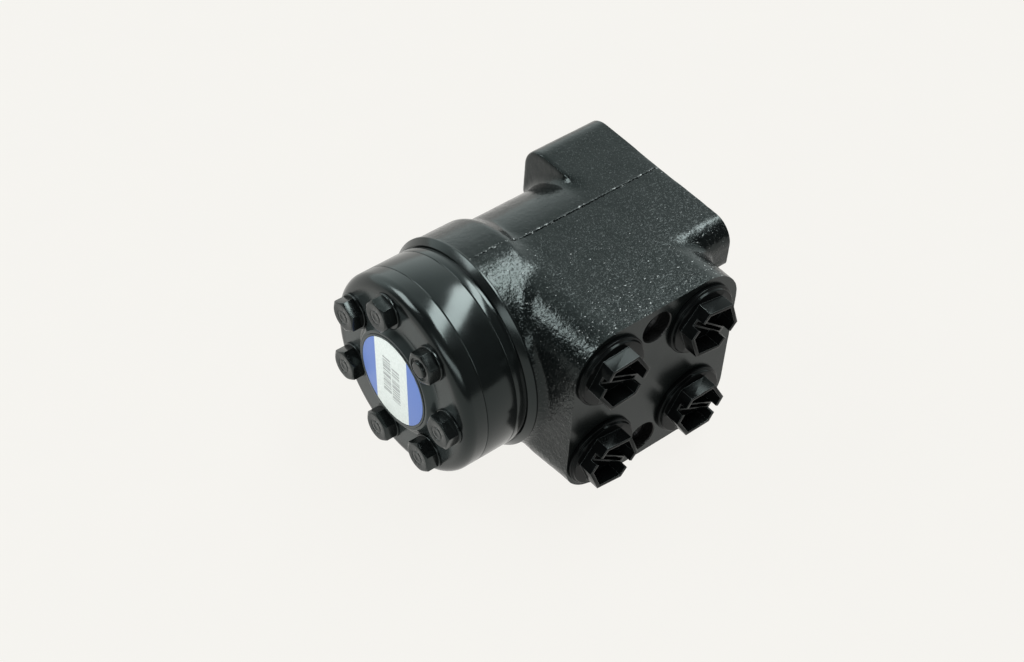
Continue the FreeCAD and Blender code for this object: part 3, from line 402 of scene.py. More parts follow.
# ------------------------------------------------------------------ mesh helpers
def make_object(name, verts, faces, mats, smooth_angle=35.0, scale=MM):
    me = bpy.data.meshes.new(name)
    me.from_pydata([tuple(c * scale for c in v) for v in verts], [], faces)
    me.validate()
    ob = bpy.data.objects.new(name, me)
    bpy.context.scene.collection.objects.link(ob)
    for m in mats:
        me.materials.append(m)
    if smooth_angle is not None:
        finish_shading(ob, smooth_angle)
    return ob


def finish_shading(ob, angle):
    me = ob.data
    me.polygons.foreach_set("use_smooth", [True] * len(me.polygons))
    me.set_sharp_from_angle(angle=math.radians(angle))
    me.update()


def rounded(points, radii, steps=6, closed=False):
    """Corners of a 2-D polyline replaced by arcs."""
    out = []
    n = len(points)
    for i, p in enumerate(points):
        r = radii[i] if isinstance(radii, (list, tuple)) else radii
        if r <= 0 or (not closed and i in (0, n - 1)):
            out.append(tuple(p))
            continue
        a, c = Vector(points[i - 1]), Vector(points[(i + 1) % n])
        q = Vector(p)
        u, v = (a - q).normalized(), (c - q).normalized()
        ang = math.acos(max(-1, min(1, u.dot(v))))
        if ang > math.pi - 0.02:
            out.append(tuple(p))
            continue
        t = r / math.tan(ang / 2)
        t = min(t, (a - q).length * 0.49, (c - q).length * 0.49)
        rr = t * math.tan(ang / 2)
        centre = q + (u + v).normalized() * (rr / math.sin(ang / 2))
        p0, p1 = q + u * t, q + v * t
        d0, d1 = p0 - centre, p1 - centre
        tot = d0.angle_signed(d1) if d0.length > 1e-9 and d1.length > 1e-9 else 0.0
        for k in range(steps + 1):
            ang_k = -tot * k / steps
            c_, s_ = math.cos(ang_k), math.sin(ang_k)
            out.append((centre.x + d0.x * c_ - d0.y * s_, centre.y + d0.x * s_ + d0.y * c_))
    return out


def lathe_data(profile, seg=192, closed=False):
    """(x, r) profile spun about X; closed=True for a ring section."""
    verts, rings = [], []
    for x, r in profile:
        if abs(r) < 1e-9:
            rings.append([len(verts)] * seg)
            verts.append((x, 0.0, 0.0))
        else:
            base = len(verts)
            rings.append([base + k for k in range(seg)])
            for k in range(seg):
                a = 2 * math.pi * k / seg
                verts.append((x, r * math.cos(a), r * math.sin(a)))
    faces = []
    count = len(profile)
    pairs = [(i, (i + 1) % count) for i in range(count if closed else count - 1)]
    for i, j in pairs:
        A, B = rings[i], rings[j]
        for k in range(seg):
            k2 = (k + 1) % seg
            f = [A[k], A[k2], B[k2], B[k]]
            f = [v for n, v in enumerate(f) if v not in f[:n]]
            if len(f) >= 3:
                faces.append(f)
    return verts, faces


def face_out(ob):
    bm = bmesh.new()
    bm.from_mesh(ob.data)
    bmesh.ops.remove_doubles(bm, verts=bm.verts, dist=1e-8)
    bmesh.ops.recalc_face_normals(bm, faces=bm.faces)
    bm.to_mesh(ob.data)
    bm.free()


def lathe(name, profile, mats, seg=192, closed=False, angle=35.0, at=(0, 0, 0), turn=None):
    v, f = lathe_data(profile, seg, closed)
    ob = make_object(name, v, f, mats, None)
    place(ob, at, turn)
    face_out(ob)
    if angle is not None:
        finish_shading(ob, angle)
    return ob


def place(ob, at=(0, 0, 0), turn=None):
    m = Matrix.Translation(Vector(at) * MM)
    if turn is not None:
        m = m @ turn.to_4x4()
    ob.data.transform(m)


def cylinder(name, p0, p1, r, seg=48):
    a, b_ = Vector(p0), Vector(p1)
    d = b_ - a
    ob = lathe(name, [(0, 0), (0, r), (d.length, r), (d.length, 0)], [], seg, angle=None)
    place(ob, tuple(a), Vector((1, 0, 0)).rotation_difference(d).to_matrix())
    return ob


def box(name, lo, hi):
    (x0, y0, z0), (x1, y1, z1) = lo, hi
    v = [(x, y, z) for x in (x0, x1) for y in (y0, y1) for z in (z0, z1)]
    f = [(0, 1, 3, 2), (4, 6, 7, 5), (0, 4, 5, 1), (2, 3, 7, 6), (0, 2, 6, 4), (1, 5, 7, 3)]
    ob = make_object(name, v, f, [], None)
    face_out(ob)
    return ob


def prism(name, pts, x0, x1, mats=()):
    """Polygon in (y, z), extruded along X."""
    n = len(pts)
    v = [(x0, y, z) for y, z in pts] + [(x1, y, z) for y, z in pts]
    f = [tuple(range(n)), tuple(range(2 * n - 1, n - 1, -1))]
    f += [(k, (k + 1) % n, n + (k + 1) % n, n + k) for k in range(n)]
    ob = make_object(name, v, f, list(mats), None)
    face_out(ob)
    return ob


def hexagon(across, turn=0.0):
    r = across / 2 / math.cos(math.pi / 6)
    return [(r * math.cos(math.radians(turn) + k * math.pi / 3), r * math.sin(math.radians(turn) + k * math.pi / 3))
            for k in range(6)]


def merged(name, obs):
    """One object from several, each a closed shell."""
    bm = bmesh.new()
    mats = []
    for o in obs:
        off = [mats.index(m) if m in mats else (mats.append(m) or len(mats) - 1) for m in o.data.materials]
        me = o.data.copy()
        start = len(bm.faces)
        bm.from_mesh(me)
        bm.faces.ensure_lookup_table()
        for f in bm.faces[start:]:
            f.material_index = off[f.material_index] if f.material_index < len(off) else 0
        bpy.data.meshes.remove(me)
    me = bpy.data.meshes.new(name)
    bm.to_mesh(me)
    bm.free()
    for m in mats:
        me.materials.append(m)
    ob = bpy.data.objects.new(name, me)
    bpy.context.scene.collection.objects.link(ob)
    for o in obs:
        bpy.data.objects.remove(o)
    return ob


def apply_boolean(ob, other, op, self_hit=False):
    """other is used up."""
    mod = ob.modifiers.new("cut", "BOOLEAN")
    mod.operation = op
    mod.solver = "EXACT"
    mod.use_self = self_hit
    mod.object = other
    try:
        mod.material_mode = "TRANSFER"
    except (AttributeError, TypeError):
        pass
    apply_modifiers(ob)
    bpy.data.objects.remove(other)
    if not ob.data.polygons:
        raise RuntimeError("boolean left nothing of " + ob.name)
    return ob


def apply_modifiers(ob):
    dg = bpy.context.evaluated_depsgraph_get()
    dg.update()
    me = bpy.data.meshes.new_from_object(ob.evaluated_get(dg), preserve_all_data_layers=True, depsgraph=dg)
    old = ob.data
    ob.modifiers.clear()
    ob.data = me
    bpy.data.meshes.remove(old)


def bevel(ob, width, angle=30.0, segments=2, slot=-1):
    mod = ob.modifiers.new("bevel", "BEVEL")
    mod.width = width * MM
    mod.segments = segments
    mod.limit_method = "ANGLE"
    mod.angle_limit = math.radians(angle)
    mod.use_clamp_overlap = True
    mod.harden_normals = False
    mod.miter_outer = "MITER_ARC"
    mod.material = slot
    apply_modifiers(ob)


def own(ob, body, slot, *nodes):
    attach(ob, body)
    if nodes:
        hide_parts(*nodes)
    return ob


# ------------------------------------------------------------------ camera, as fitted to the photograph
cam_data = bpy.data.cameras.new("camera")
cam = bpy.data.objects.new("camera", cam_data)
bpy.context.scene.collection.objects.link(cam)
RIGHT = Vector((0.77484, -0.63007, 0.05136))
DOWN = Vector((-0.42710, -0.58166, -0.69228))
FORWARD = Vector((0.46606, 0.51447, -0.71980))
rot = Matrix((RIGHT, -DOWN, -FORWARD)).transposed()
cam.matrix_world = Matrix.Translation(Vector((-469.14, -433.69, 597.08)) * MM) @ rot.to_4x4()
cam_data.sensor_fit = "HORIZONTAL"
cam_data.sensor_width = 36.0
cam_data.lens = 1982.2 * 36.0 / 1024.0
cam_data.clip_start, cam_data.clip_end = 0.01, 20.0
bpy.context.scene.camera = cam


# ------------------------------------------------------------------ housing casting
def rounded_polygon(points, radii, steps=10):
    return rounded(points, radii, steps, closed=True)


def polygon_distance(pts, U, V):
    """Signed distance to a polygon, negative inside."""
    p = np.array(pts, float)
    q = np.roll(p, -1, axis=0)
    best = np.full(U.shape, 1e9)
    inside = np.zeros(U.shape, bool)
    for (ax, ay), (bx, by) in zip(p, q):
        ex, ey = bx - ax, by - ay
        L = ex * ex + ey * ey
        if L < 1e-12:
            continue
        t = np.clip(((U - ax) * ex + (V - ay) * ey) / L, 0, 1)
        best = np.minimum(best, (U - ax - t * ex) ** 2 + (V - ay - t * ey) ** 2)
        crosses = ((ay > V) != (by > V))
        with np.errstate(divide="ignore", invalid="ignore"):
            xs = ax + (V - ay) * ex / (ey if ey != 0 else 1e-12)
        inside ^= crosses & (U < xs)
    dist = np.sqrt(best)
    return np.where(inside, -dist, dist)


def smooth01(t):
    t = np.clip(t, 0, 1)
    return t * t * (3 - 2 * t)


FLANGE = rounded_polygon(
    [(44.95, 43.97), (44.95, 14), (38, 9), (38, -9), (44.95, -14), (44.95, -43.97),
     (-46.15, -43.97), (-46.15, -22.5), (-38, -17), (-38, 17), (-46.15, 22.5), (-46.15, 43.97)],
    [11.5, 3.5, 3, 3, 3.5, 11.5, 10.0, 3.5, 3, 3, 3.5, 10.0])
BLOCK = rounded_polygon([(-97.9, -43.97), (-11, -43.97), (-11, 43.97), (-97.9, 43.97)], [18.5, 19.5, 19.5, 18.5], 16)


def dist_barrel(X, Y, Z):
    r = 43.9 + 3.2 * smooth01((-75.5 - X) / 8.0)
    d = np.sqrt(Y * Y + Z * Z) - r
    return np.maximum(d, np.abs(X + 50.5) - 53.5)


def prism_distance(d2, T, centre, half, r):
    w2 = np.abs(T - centre) - half + r
    w1 = d2 + r
    return np.minimum(np.maximum(w1, w2), 0) + np.hypot(np.maximum(w1, 0), np.maximum(w2, 0)) - r


def dist_flange(X, Y, Z):
    return prism_distance(polygon_distance(FLANGE, Y, Z), X, -16.0, 20.0, 1.2)


def dist_block(X, Y, Z):
    # the wall towards the gear set leans out a little behind the port face
    lean = -0.08 * np.clip(Y - FACE, 0, 22) * smooth01((-60.0 - X) / 38.0)
    return prism_distance(polygon_distance(BLOCK, X - lean, Z), Y, -34.0, 34.0, 0.3)


def surface_nets(F, org, h):
    shape = F.shape
    cells = tuple(s - 1 for s in shape)
    total = np.zeros(int(np.prod(cells)))
    acc = np.zeros((3, total.size))
    crossings = []
    for a in range(3):
        lo = [slice(None)] * 3
        hi = [slice(None)] * 3
        lo[a], hi[a] = slice(0, -1), slice(1, None)
        f0, f1 = F[tuple(lo)], F[tuple(hi)]
        m = (f0 < 0) != (f1 < 0)
        idx = np.argwhere(m)
        t = f0[m] / (f0[m] - f1[m])
        pos = idx.astype(float)
        pos[:, a] += t
        crossings.append((idx, f0[m] < 0))
        b, c = [i for i in range(3) if i != a]
        for ob in (0, 1):
            for oc in (0, 1):
                cell = idx.copy()
                cell[:, b] -= ob
                cell[:, c] -= oc
                flat = np.ravel_multi_index(cell.T, cells)
                total += np.bincount(flat, minlength=total.size)
                for k in range(3):
                    acc[k] += np.bincount(flat, weights=pos[:, k], minlength=total.size)
    used = np.nonzero(total)[0]
    index = np.full(total.size, -1, np.int64)
    index[used] = np.arange(used.size)
    verts = (acc[:, used] / total[used]).T * h + np.array(org)
    quads = []
    for a in range(3):
        idx, neg = crossings[a]
        b, c = [(1, 2), (2, 0), (0, 1)][a]
        corner = []
        for ob, oc in ((1, 1), (0, 1), (0, 0), (1, 0)):
            cell = idx.copy()
            cell[:, b] -= ob
            cell[:, c] -= oc
            corner.append(index[np.ravel_multi_index(cell.T, cells)])
        q = np.stack(corner, 1)
        q[~neg] = q[~neg][:, ::-1]
        quads.append(q)
    return verts, np.concatenate(quads)


def build_casting():
    h = 0.8
    lo, hi = np.array([-106.0, -70.0, -50.0]), np.array([6.0, 50.0, 50.0])
    n = np.ceil((hi - lo) / h).astype(int) + 1
    xs, ys, zs = [lo[i] + h * np.arange(n[i]) for i in range(3)]
    Y2, Z2 = np.meshgrid(ys, zs, indexing="ij")
    X2, Z3 = np.meshgrid(xs, zs, indexing="ij")
    X = xs[:, None, None]
    Y = ys[None, :, None]
    Z = zs[None, None, :]
    F = dist_barrel(X, Y, Z)
    F = np.minimum(F, prism_distance(polygon_distance(FLANGE, Y2, Z2)[None], X, -16.0, 20.0, 1.2))
    lean = -0.08 * np.clip(Y - FACE, 0, 22) * smooth01((-60.0 - X) / 38.0)
    XL = np.broadcast_to(X - lean, (n[0], n[1], n[2]))
    d_block = np.empty(F.shape)
    ZB = np.broadcast_to(zs[None, :], (n[0], n[2]))
    for j in range(n[1]):
        d_block[:, j, :] = polygon_distance(BLOCK, XL[:, j, :], ZB)
    F = np.minimum(F, prism_distance(d_block, Y, -34.0, 34.0, 0.3))
    verts, quads = surface_nets(F, lo, h)
    # smooth the hollows where two shapes of the casting meet, as a sand mould would
    edges = np.concatenate([quads[:, [0, 1]], quads[:, [1, 2]], quads[:, [2, 3]], quads[:, [3, 0]]])
    count = np.bincount(edges.ravel(), minlength=len(verts)).astype(float)

    def average(P):
        out = np.zeros_like(P)
        for k in range(3):
            out[:, k] = (np.bincount(edges[:, 0], weights=P[edges[:, 1], k], minlength=len(P))
                         + np.bincount(edges[:, 1], weights=P[edges[:, 0], k], minlength=len(P)))
        return out / count[:, None]

    P = verts.copy()
    d = [np.abs(fn(P[:, 0], P[:, 1], P[:, 2])) for fn in (dist_barrel, dist_flange, dist_block)]
    near = np.zeros(len(P))
    for i, j, reach in ((0, 1, 2.6), (0, 2, 2.2), (1, 2, 1.8)):
        near = np.maximum(near, np.clip(1.35 - np.maximum(d[i], d[j]) / reach, 0, 1))
    near = np.clip(near, 0, 1)[:, None]
    steps = int(70 * (0.8 / h) ** 2)
    for k in range(steps):
        P += 0.6 * near * (average(P) - P)
    for k in range(3):
        P += 0.3 * (average(P) - P)
    # slow unevenness of the mould, stronger on the port side
    nrm = np.zeros_like(P)
    a, b_, c_, d_ = (P[quads[:, k]] for k in range(4))
    fn_ = np.cross(c_ - a, d_ - b_)
    for k in range(4):
        for m in range(3):
            nrm[:, m] += np.bincount(quads[:, k], weights=fn_[:, m], minlength=len(P))
    nrm /= np.maximum(np.linalg.norm(nrm, axis=1), 1e-9)[:, None]
    wob = np.empty(len(P))
    for i, p in enumerate(P):
        q = Vector(p)
        wob[i] = 0.10 * noise.noise(q * 0.11) + 0.07 * noise.noise(q * 0.33) + 0.045 * noise.noise(q * 0.75)
    coarse = 0.45 + 0.55 * smooth01((4 - P[:, 1]) / 30)
    P += nrm * (wob * coarse)[:, None]
    return P, quads


P, Qd = build_casting()
cast = make_object("housing_casting", P.tolist(), Qd.tolist(), [MAT_CAST, MAT_FACE, MAT_HOLE], None)


def slice_flat(ob, co, no, mat):
    """Cut by a plane and close the cut with a flat face, as machining does."""
    bm = bmesh.new()
    bm.from_mesh(ob.data)
    geom = bm.verts[:] + bm.edges[:] + bm.faces[:]
    res = bmesh.ops.bisect_plane(bm, geom=geom, plane_co=Vector(co) * MM, plane_no=Vector(no), clear_outer=True, dist=1e-7)
    cut = [e for e in res["geom_cut"] if isinstance(e, bmesh.types.BMEdge)]
    cut = [e for e in cut if e.is_boundary]
    new = bmesh.ops.edgenet_fill(bm, edges=cut, mat_nr=mat)
    for f in new["faces"]:
        f.material_index = mat
    bmesh.ops.recalc_face_normals(bm, faces=bm.faces)
    bm.to_mesh(ob.data)
    bm.free()


slice_flat(cast, (-0.01, 0, 0), (1, 0, 0), 1)
slice_flat(cast, (0, FACE, 0), (0, -1, 0), 1)
slice_flat(cast, (-102.2, 0, 0), (-1, 0, 0), 1)

# machined land and cone in front of the collar, with a recess next to the distributor plate
spigot_pts = rounded([(-100.5, 0), (-100.5, 46.4), (-101.9, 47.2), (-102.3, 47.74), (-103.1, 47.74), (-105.55, 45.3), (-105.6, 44.15), (J1, 44.15), (J1, 0)],
                     [0, 0, 0, 0.15, 0.2, 0.15, 0.1, 0, 0], 4)
spigot = lathe("housing_spigot", spigot_pts, [MAT_RING], 256, angle=None)
apply_boolean(cast, spigot, "UNION")

cutters = [
    lathe("bore", [(2, 0), (2, 20.9), (0, 20.5), (-0.5, 20.0), (-5.5, 20.0), (-5.5, 14.2), (-9, 14.2), (-9, 18.5), (-15, 18.5),
                   (-15, 19.03), (-109, 19.03), (-109, 0)], [MAT_FACE], 128, angle=None)]
for sy in (1, -1):
    for sz in (1, -1):
        o = lathe("tap", [(-21, 0), (-19.2, 4.25), (2, 4.25), (2, 0)], [MAT_HOLE], 40, angle=None)
        place(o, (0, sy * 29.17, sz * 29.17))
        cutters.append(o)
to_port = Matrix.Rotation(math.radians(-90), 3, "Z")       # local +X to -Y
for sz in (1, -1):
    o = lathe("valve", [(-22, 0), (-20, 4.25), (-6, 4.25), (-5, 5.2), (-5, 7.35), (-0.5, 7.35), (0, 7.75), (1, 8.3), (1, 0)],
              [MAT_HOLE], 48, angle=None)
    place(o, (PORT_X, FACE, sz * 33.2), to_port)
    cutters.append(o)
for sx in (-1, 1):
    for sz in (-1, 1):
        o = lathe("port", [(-15, 0), (-15, 10.3), (-2.3, 10.3), (-2.3, 11.25), (1, 11.25), (1, 0)], [MAT_HOLE], 48, angle=None)
        place(o, (PORT_X + sx * PORT_H, FACE, sz * PORT_H), to_port)
        cutters.append(o)
tool = merged("cutters", cutters)
face_out(tool)
apply_boolean(cast, tool, "DIFFERENCE")
finish_shading(cast, 32)
own(cast, "housing_body", "cast_paint", "housing")


# raised bead left by the mould's parting line, along the top of the casting
def bead(name, pts, radius, wobble, seed):
    verts, faces = [], []
    side = 7
    path = [Vector(p) for p in pts]
    for i, p in enumerate(path):
        t = (path[min(i + 1, len(path) - 1)] - path[max(i - 1, 0)]).normalized()
        up = Vector((0, p.y, p.z)).normalized()
        sid = t.cross(up).normalized()
        k = noise.noise(Vector((seed, i * 0.9, 0.0))) + 0.5 * noise.noise(Vector((seed + 3, i * 2.3, 0.0)))
        r = radius * (1.0 + wobble * k)
        if i in (0, len(path) - 1):
            r *= 0.25
        c = p + sid * 0.22 * noise.noise(Vector((seed + 9, i * 0.4, 0))) + up * 0.10 * noise.noise(Vector((seed + 5, i * 1.3, 0)))
        for s in range(side):
            a = 2 * math.pi * s / side
            verts.append(tuple(c + sid * (r * 1.1 * math.cos(a)) + up * (r * math.sin(a))))
    for i in range(len(path) - 1):
        for s in range(side):
            a, b2 = i * side + s, i * side + (s + 1) % side
            faces.append((a, b2, b2 + side, a + side))
    faces.append(tuple(range(side))[::-1])
    last = (len(path) - 1) * side
    faces.append(tuple(range(last, last + side)))
    ob = make_object(name, verts, faces, [MAT_CAST], None)
    face_out(ob)
    finish_shading(ob, 80)
    return ob


def swell(x):
    """Radius of the casting along the parting line."""
    return 43.9 + 3.2 * float(smooth01(np.float64((-75.5 - x) / 8.0)))


line = [(-79.8 + 0.5 * i, 0.15, swell(-79.8 + 0.5 * i) + 0.05) for i in range(int(79.4 / 0.5))]
own(bead("parting_line_top", line, 0.50, 1.0, 3.1), "housing_body", "cast_paint")
line = [(-99.6 + 0.5 * i, 0.2, 47.05) for i in range(int(13.0 / 0.5))]
own(bead("parting_line_collar", line, 0.40, 0.8, 7.7), "housing_body", "cast_paint")
line = [(-79.8 + 0.5 * i, 0.15, -swell(-79.8 + 0.5 * i) - 0.05) for i in range(int(79.4 / 0.5))]
own(bead("parting_line_under", line, 0.50, 1.0, 5.2), "housing_body", "cast_paint")


# ------------------------------------------------------------------ plate, gear ring, end cover
def screw_cutters(x0, x1, r, seg=40):
    out = []
    for k in range(7):
        y, z = screw_at(k)
        out.append(cylinder("screw_hole", (x0, y, z), (x1, y, z), r, seg))
    return out


plate = lathe("distributor_plate_shown", rounded([(J1, 10.6), (J1, 45.0), (J2, 45.0), (J2, 10.6)], [0, 0.35, 0.35, 0], 4, True),
              [MAT_RING], 256, closed=True, angle=None)
cut_plate = screw_cutters(J1 + 1, J2 - 1, 4.3)
for k in range(7):
    a = math.radians(ANGLE0 - k * 360.0 / 7.0) + math.pi / 7
    cut_plate.append(cylinder("feed", (J1 + 1, 25.2 * math.cos(a), 25.2 * math.sin(a)), (J2 - 1, 25.2 * math.cos(a), 25.2 * math.sin(a)), 2.2, 24))
apply_boolean(plate, merged("cut_plate", cut_plate), "DIFFERENCE")
finish_shading(plate, 30)
own(plate, "housing_body", "turned_paint_ring", "distributor_plate")

ring = lathe("gear_ring_shown", rounded([(J2, 0), (J2, 45.0), (J3, 45.0), (J3, 0)], [0, 0.4, 0.4, 0], 4), [MAT_RING], 256, angle=None)
# inner outline: seven lobes on a root circle
inner = []
for i in range(420):
    a = 2 * math.pi * i / 420
    r = 31.5
    for k in range(7):
        c = math.radians(ANGLE0 - k * 360.0 / 7.0)
        dlt = math.atan2(math.sin(a - c), math.cos(a - c))
        disc = 6.5 ** 2 - (32.0 * math.sin(dlt)) ** 2
        if abs(dlt) < 0.25 and disc > 0:
            r = min(r, 32.0 * math.cos(dlt) - math.sqrt(disc))
    inner.append((r * math.cos(a), r * math.sin(a)))
hole = prism("gear_hole", inner, J3 - 1, J2 + 1, [MAT_GROUND])
apply_boolean(ring, hole, "DIFFERENCE")
apply_boolean(ring, merged("cut_ring", screw_cutters(J3 - 1, J2 + 1, 4.3)), "DIFFERENCE")
finish_shading(ring, 30)
own(ring, "housing_body", "turned_paint_ring", "gear_ring")

cover_pts = rounded([(J3, 0), (J3, 45.0), (COVER, 45.0), (COVER, 26.0), (BOSS, 22.6), (BOSS, 21.35), (BOSS + 0.25, 21.35), (BOSS + 0.25, 0)],
                    [0, 0.4, 6.0, 3.0, 0.8, 0.1, 0, 0], 12)
cover = lathe("end_cover_shown", cover_pts, [MAT_COVER], 256, angle=None)
cut_cover = screw_cutters(COVER - 4, J3 + 1, 4.3)
cut_cover += screw_cutters(COVER - 5, COVER, 8.3, 64)
apply_boolean(cover, merged("cut_cover", cut_cover), "DIFFERENCE", True)
finish_shading(cover, 30)
own(cover, "housing_body", "turned_paint_cover", "end_cover")

disc = lathe("name_disc_shown", rounded([(BOSS + 0.25, 0), (BOSS + 0.25, 21.3), (BOSS - 0.35, 21.3), (BOSS - 0.35, 20.6), (BOSS - 0.15, 20.35),
                                         (BOSS - 0.15, 0)], [0, 0.1, 0.18, 0.1, 0, 0], 3), [MAT_COVER], 160, angle=None)
finish_shading(disc, 40)
own(disc, "housing_body", "turned_paint_cover", "name_disc")
label = lathe("name_disc_print", rounded([(BOSS - 0.10, 0), (BOSS - 0.10, 20.25), (BOSS - 0.28, 20.25), (BOSS - 0.28, 0)], [0, 0.04, 0.06, 0], 3),
              [MAT_DISC], 160, angle=None)
finish_shading(label, 40)
own(label, "housing_body", "name_disc", "name_disc")


# ------------------------------------------------------------------ cover screws and washers
def screw_head(k):
    y, z = screw_at(k)
    under, top = COVER - 1.1, TOP if k != SPECIAL else TOP + 0.35
    pts = [(u, v) for u, v in hexagon(13.0, HEAD_TURN[k])]
    head = prism("head", pts, top, under, [MAT_SCREW])
    # rounded chamfer: the head is what the hexagon and a turned form share
    form = lathe("form", rounded([(top, 0), (top, 6.05), (top + 0.85, 7.75), (under + 0.0, 7.75), (under, 0)], [0, 0.35, 0, 0, 0], 5),
                 [MAT_SCREW], 96, angle=None)
    apply_boolean(head, form, "INTERSECT")
    if k != SPECIAL:
        # shallow round mark left by the forging die
        mark = lathe("mark", rounded([(top - 1, 2.55), (top + 0.16, 2.75), (top + 0.16, 3.35), (top - 1, 3.6)], [0, 0.1, 0.1, 0], 3, True),
                     [MAT_SCREW], 48, closed=True, angle=None)
        apply_boolean(head, mark, "DIFFERENCE")
        dish = lathe("dish", [(top - 1, 0), (top - 1, 2.0), (top + 0.10, 1.5), (top + 0.14, 0)], [MAT_SCREW], 48, angle=None)
        apply_boolean(head, dish, "DIFFERENCE")
    else:
        pit = lathe("pit", rounded([(top - 1, 3.6), (top + 0.75, 3.75), (top + 0.75, 5.0), (top - 1, 5.35)], [0, 0.3, 0.3, 0], 4, True),
                    [MAT_SCREW], 64, closed=True, angle=None)
        apply_boolean(head, pit, "DIFFERENCE")
        knob = lathe("knob", rounded([(top + 1.0, 0), (top + 1.0, 3.65), (top - 0.55, 3.55), (top - 0.83, 2.9), (top - 0.83, 0)],
                                     [0, 0, 0.35, 0.3, 0], 4), [MAT_SCREW], 64, angle=None)
        apply_boolean(head, knob, "UNION")
    bevel(head, 0.16, 28.0, 2)
    length = 47.5 if k != SPECIAL else 39.7
    shank = lathe("shank", rounded([(under - 1.0, 0), (under - 1.0, 4.0), (under + length, 4.0), (under + length, 0)], [0, 0, 0.8, 0], 3),
                  [MAT_SCREW], 40, angle=None)
    both = merged("screw", [head, shank])
    place(both, (0, y, z))
    finish_shading(both, 32)
    return both


heads = [screw_head(k) for k in range(7)]
special = heads.pop(SPECIAL)
special.name = "special_screw_shown"
own(special, "housing_body", "screw_paint", "special_screw")
for k, o in enumerate(heads):
    o.name = "cover_screw_shown_%d" % (k + 1)
    own(o, "housing_body", "screw_paint", "cover_screws")
for k in range(7):
    y, z = screw_at(k)
    w = lathe("washer_shown_%d" % (k + 1), rounded([(COVER, 4.1), (COVER, 7.9), (COVER - 1.1, 7.9), (COVER - 1.1, 4.1)],
                                                   [0.1, 0.15, 0.35, 0.1], 4, True), [MAT_WASHER], 96, closed=True, angle=None)
    place(w, (0, y, z))
    finish_shading(w, 40)
    own(w, "housing_body", "washer_paint", "cover_screw_washers")


# ------------------------------------------------------------------ port plugs
def port_plug(tag):
    sx, sz = PLUG_AT[tag]
    # local frame: +X out of the port; y, z across it
    base = lathe("plug", rounded([(-11.0, 0), (-11.0, 7.8), (-11.0, 10.2), (-2.2, 10.2), (-2.2, 9.15), (-0.1, 9.15), (-0.1, 10.2), (0.05, 10.2),
                                  (0.05, 16.8), (1.7, 16.8), (1.85, 15.95), (3.0, 15.7), (3.05, 0)],
                                 [0, 0, 0.6, 0.1, 0.1, 0.1, 0.1, 0, 0.25, 0.5, 0.2, 0.35, 0], 5), [MAT_PLUG], 160, angle=None)
    turn = 0.0
    outer = prism("hex", hexagon(23.1, 30.0), 1.0, 9.53, [MAT_PLUG])
    apply_boolean(base, outer, "UNION")
    hollow = prism("hollow", hexagon(23.1 - 3.2, 30.0), 2.0, 12.0, [MAT_PLUG])
    apply_boolean(base, hollow, "DIFFERENCE")
    notch = box("notch", (5.95, -13.5, -1.7), (12.0, 13.5, 1.7))
    notch.data.materials.append(MAT_PLUG)
    apply_boolean(base, notch, "DIFFERENCE")
    ribs = merged("ribs", [box("rib", (1.8, -10.4, s * 1.2 - 0.35), (6.3, 10.4, s * 1.2 + 0.35)) for s in (-1, 1)])
    ribs.data.materials.append(MAT_PLUG)
    apply_boolean(base, ribs, "UNION")
    # painted highlight: the bevels below get the lighter rim material
    base.data.materials.append(MAT_RIM_PAINTED_HIGHLIGHT)
    bevel(base, 0.20, 32.0, 2, len(base.data.materials) - 1)
    # local (x, y, z) to the row frame: out is -Y, and the notches lie at PLUG_TURN in the (x, z) plane
    a = math.radians(PLUG_TURN[tag])
    u = Vector((math.cos(a), 0, math.sin(a)))
    out = Vector((0, -1, 0))
    w = out.cross(u)
    place(base, (PORT_X + sx * PORT_H, FACE, sz * PORT_H), Matrix((out, u, w)).transposed())
    base.name = "port_plug_shown_" + tag
    finish_shading(base, 30)
    return base


for tag in "abcd":
    own(port_plug(tag), "housing_body", "plug_plastic", "port_plug_" + tag)

# ------------------------------------------------------------------ column end
seal = lathe("dust_seal_shown", rounded([(-5.45, 19.96), (-0.5, 19.96), (-0.3, 19.66), (-0.3, 17.2), (-1.1, 16.4), (-1.5, 13.7), (-2.8, 13.06),
                                         (-3.5, 13.06), (-4.0, 14.6), (-4.4, 16.6), (-5.45, 16.6)], [0.2, 0.3, 0.2, 0.5, 0.5, 0.4, 0.2, 0.1, 0.4, 0.4, 0.2], 4, True),
             [MAT_RUBBER], 128, closed=True, angle=40)
own(seal, "housing_body", "dust_seal_rubber", "dust_seal")

spool = lathe("control_spool_shown", rounded([(-106.8, 9.9), (-24.0, 9.9), (-24.0, 8.75), (-7.0, 8.75), (-7.0, 10.6), (-2.0, 10.6), (-2.0, 12.4), (-2.6, 13.0), (-88.0, 13.0), (-88.0, 12.2),
                                              (-90.5, 12.2), (-90.5, 13.0), (-106.8, 13.0)], [0, 0, 0.2, 0, 0, 0.3, 0.2, 0.1, 0, 0, 0, 0, 0.3], 3, True),
              [MAT_GROUND], 120, closed=True, angle=None)
cut_spool = []
for k in range(12):
    o = box("spline", (-24.1, 8.0, -1.15), (0.0, 10.4, 1.15))
    o.data.transform(Matrix.Rotation(math.radians(30.0 * k), 4, "X"))
    cut_spool.append(o)
o = merged("splines", cut_spool)
o.data.materials.append(MAT_GROUND)
apply_boolean(spool, o, "DIFFERENCE")
o = cylinder("pin_hole", (-52, 14, 0), (-52, -14, 0), 6.2, 48)
o.data.materials.append(MAT_GROUND)
apply_boolean(spool, o, "DIFFERENCE")
o = box("spring_slot", (-31.4, -3.5, -14), (-24.6, 3.5, 14))
o.data.materials.append(MAT_GROUND)
apply_boolean(spool, o, "DIFFERENCE")
cut_spool = []
